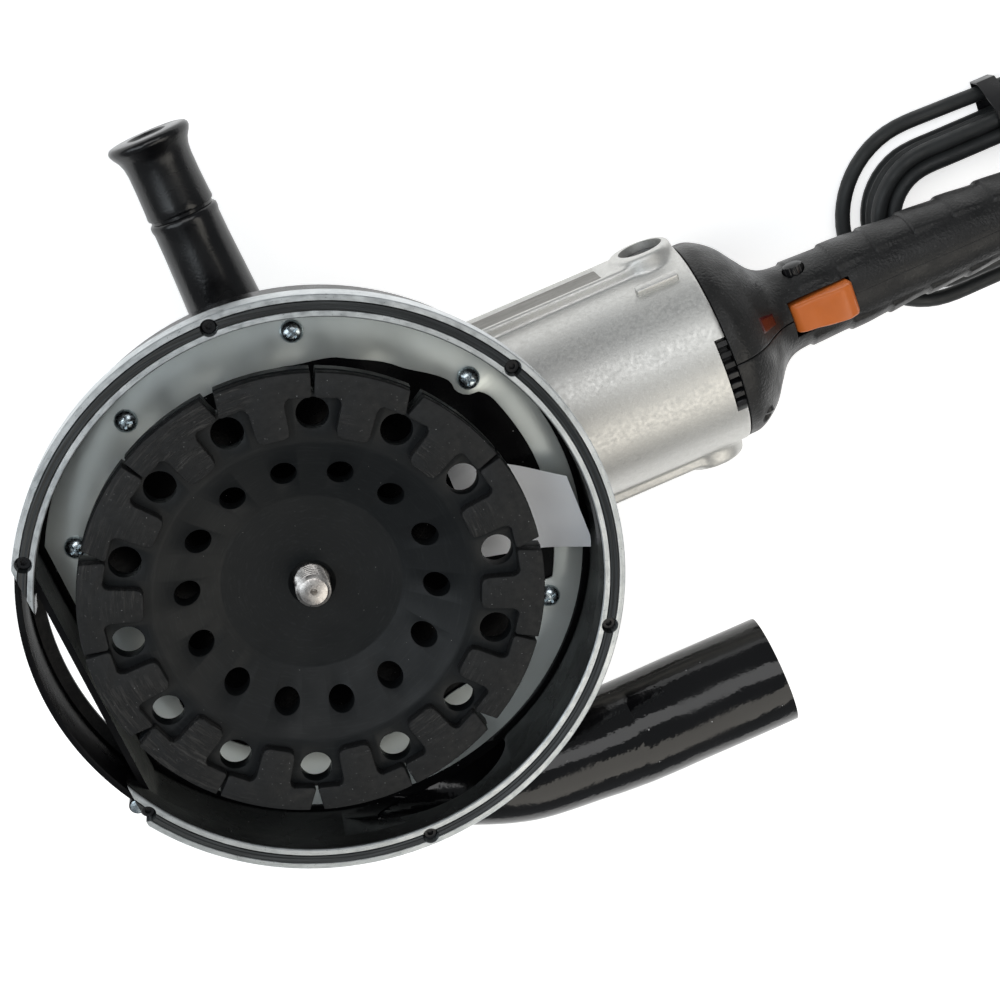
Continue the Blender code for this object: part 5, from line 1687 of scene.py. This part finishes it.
def handle_shells():
    """The two shells, split upright, with the trigger slot, the vents and the screws."""
    for word, side in (("left", 1), ("right", -1)):
        shell = handle_surface()
        near, far = sorted((side * -0.08, side * 0.00002))
        half = block("half", (0.18, near, -0.02), (0.45, far, 0.12))
        slot_start = (low("trigger").x - 0.0006, -0.0081, MOTOR_Z + 0.006)
        slot = block("slot", slot_start, (high("trigger").x + 0.0007, 0.0081, MOTOR_Z + 0.045))
        guard = rod("guard", 0.0083, HANDLE_END - 0.01, HANDLE_END + 0.01, "X", (0, 0, MOTOR_Z))
        parting = block("parting", (0.19, -0.0003, MOTOR_Z + 0.012), (low("trigger").x, 0.0003, 0.12))
        cutters = [handle_hollow(), half, slot, guard, parting]
        if side > 0:
            cutters.append(rod("button", 0.0050, 0.010, 0.03, "Y", (BUTTON_X, 0, BUTTON_Z), 32))
        for k in range(5):
            vent = block("vent", (0.2085, -0.0011, 0.028), (0.2165, 0.0011, 0.060))
            turn = math.radians(side * (98 + 14 * k))
            vent.data.transform(Matrix.Translation((0, 0, MOTOR_Z)) @ Matrix.Rotation(-turn, 4, "X"))
            cutters.append(vent)
        if side < 0:
            for x, y, z in SHELL_SCREWS:
                cutters.append(rod("screw_well", 0.0036, y - 0.03, y, "Y", (x, 0, z), 32))
        cut(shell, *cutters)
        soften(shell, 0.00035, 1, 55)
        dress(shell, LOOK["grip"], "tool", f"handle_shell_{word}", sharp=50)
        shell.name = f"handle_shell_{word}_fine"
    shell_screw_heads()


def bell_lens():
    """The red running-light lens on the bell, beside the trigger."""
    rings = []
    for i in range(9):
        u = i / 8
        x = 0.2105 + 0.0095 * u
        ring = []
        for k in range(9):
            v = k / 8
            angle = math.radians(7 + 13 * v)
            half_y, half_z = grip_half_sizes(x)
            edge = min(u, 1 - u, v, 1 - v)
            reach = 0.0006 * eased(edge / 0.15) - 0.0003
            ring.append((x, (half_y + reach) * math.sin(angle), MOTOR_Z + (half_z + reach) * math.cos(angle)))
        rings.append(ring)
    dress(sheet("running_light_lens", rings, 0.0004), LOOK["lens"], "tool")


def controls():
    """The paddle trigger and the lock-on knob."""
    start = low("trigger").x
    end = high("trigger").x
    half = high("trigger").y
    top = high("trigger").z
    foot = low("trigger").z
    outline = [
        (start, foot),
        (end, foot),
        (end, top - 0.0058),
        (end - 0.0014, top - 0.0022),
        (end - 0.0060, top - 0.0001),
        (end - 0.0095, top - 0.0007),
        (end - 0.0155, top - 0.0030),
        (start + 0.0080, top - 0.0046),
        (start + 0.0030, top - 0.0053),
        (start + 0.0006, top - 0.0066),
        (start, top - 0.0080),
    ]
    paddle = skin("trigger_fine", [[(x, y, z) for x, z in outline] for y in (-half, half)])
    for vert in paddle.data.vertices:
        widen = 0.86 + 0.14 * eased((vert.co.x - start) / (end - start) * 1.6)
        vert.co.y *= widen
    soften(paddle, 0.0015, 4, 30)
    dress(paddle, LOOK["orange"], "paddle", "trigger", sharp=60)
    face = high("lock_on_button").y
    profile = [(0, face), (0.0030, face), (0.0036, face - 0.0004), (0.0044, face - 0.0008)]
    profile += [(0.0044, face - 0.0050), (0.0041, face - 0.0055), (0.0041, 0.0120), (0, 0.0120)]
    knob = lathe("lock_on_fine", profile, 48, axis="Y", centre=(BUTTON_X, 0, BUTTON_Z))
    grooves = []
    for k in range(12):
        angle = k * math.tau / 12
        spot = (BUTTON_X + 0.0047 * math.cos(angle), 0, BUTTON_Z + 0.0047 * math.sin(angle))
        grooves.append(rod("groove", 0.0006, face - 0.0040, face + 0.001, "Y", spot, 12))
    cut(knob, *grooves)
    dress(knob, LOOK["smooth"], "lock_on", "lock_on_button")


# ---------------------------------------------------------------- side handle


def side_handle():
    """The screw-in side handle, with its end flange and the ring groove half way."""
    spot = (SIDE_X, 0, MOTOR_Z)
    from_end = (
        (0, 0.0010), (0.0075, 0.0010), (0.0085, 0), (0.0150, 0), (0.0166, 0.0004),
        (0.0174, 0.0014), (0.0175, 0.0026), (0.0168, 0.0042), (0.0152, 0.0066), (0.0142, 0.0094),
        (0.0138, 0.0130), (0.0138, 0.0200), (0.0141, 0.0292), (0.0143, 0.0318), (0.0141, 0.0326),
        (0.0134, 0.0330), (0.0134, 0.0342), (0.0140, 0.0345), (0.0146, 0.0352), (0.0147, 0.0368),
        (0.0143, 0.0385), (0.0144, 0.0480), (0.0151, 0.0650), (0.0159, 0.0850), (0.0164, 0.0980),
        (0.0164, 0.1160), (0.0160, 0.1200), (0.0152, 0.1232),
    )
    profile = [(radius, SIDE_END - depth) for radius, depth in from_end]
    profile += [(0.0152, SIDE_START + 0.0010), (0.0144, SIDE_START), (0.0063, SIDE_START)]
    profile += [(0.0063, 0.0885), (0, 0.0885)]
    handle = lathe("side_handle_fine", profile, 96, axis="Y", centre=spot)
    return dress(handle, LOOK["side"], "tool", "side_handle_grip")


camera()
studio()
dress_inner_nodes()
lead()
cup_wheel()
diamond_segments()
spindle()
hood_body()
dust_port()
hood_liner()
liner_screws()
hood_rim()
edge_door()
hood_clamp()
sticker()
gear_head()
motor_housing()
brush_caps()
handle_shells()
bell_lens()
controls()
side_handle()
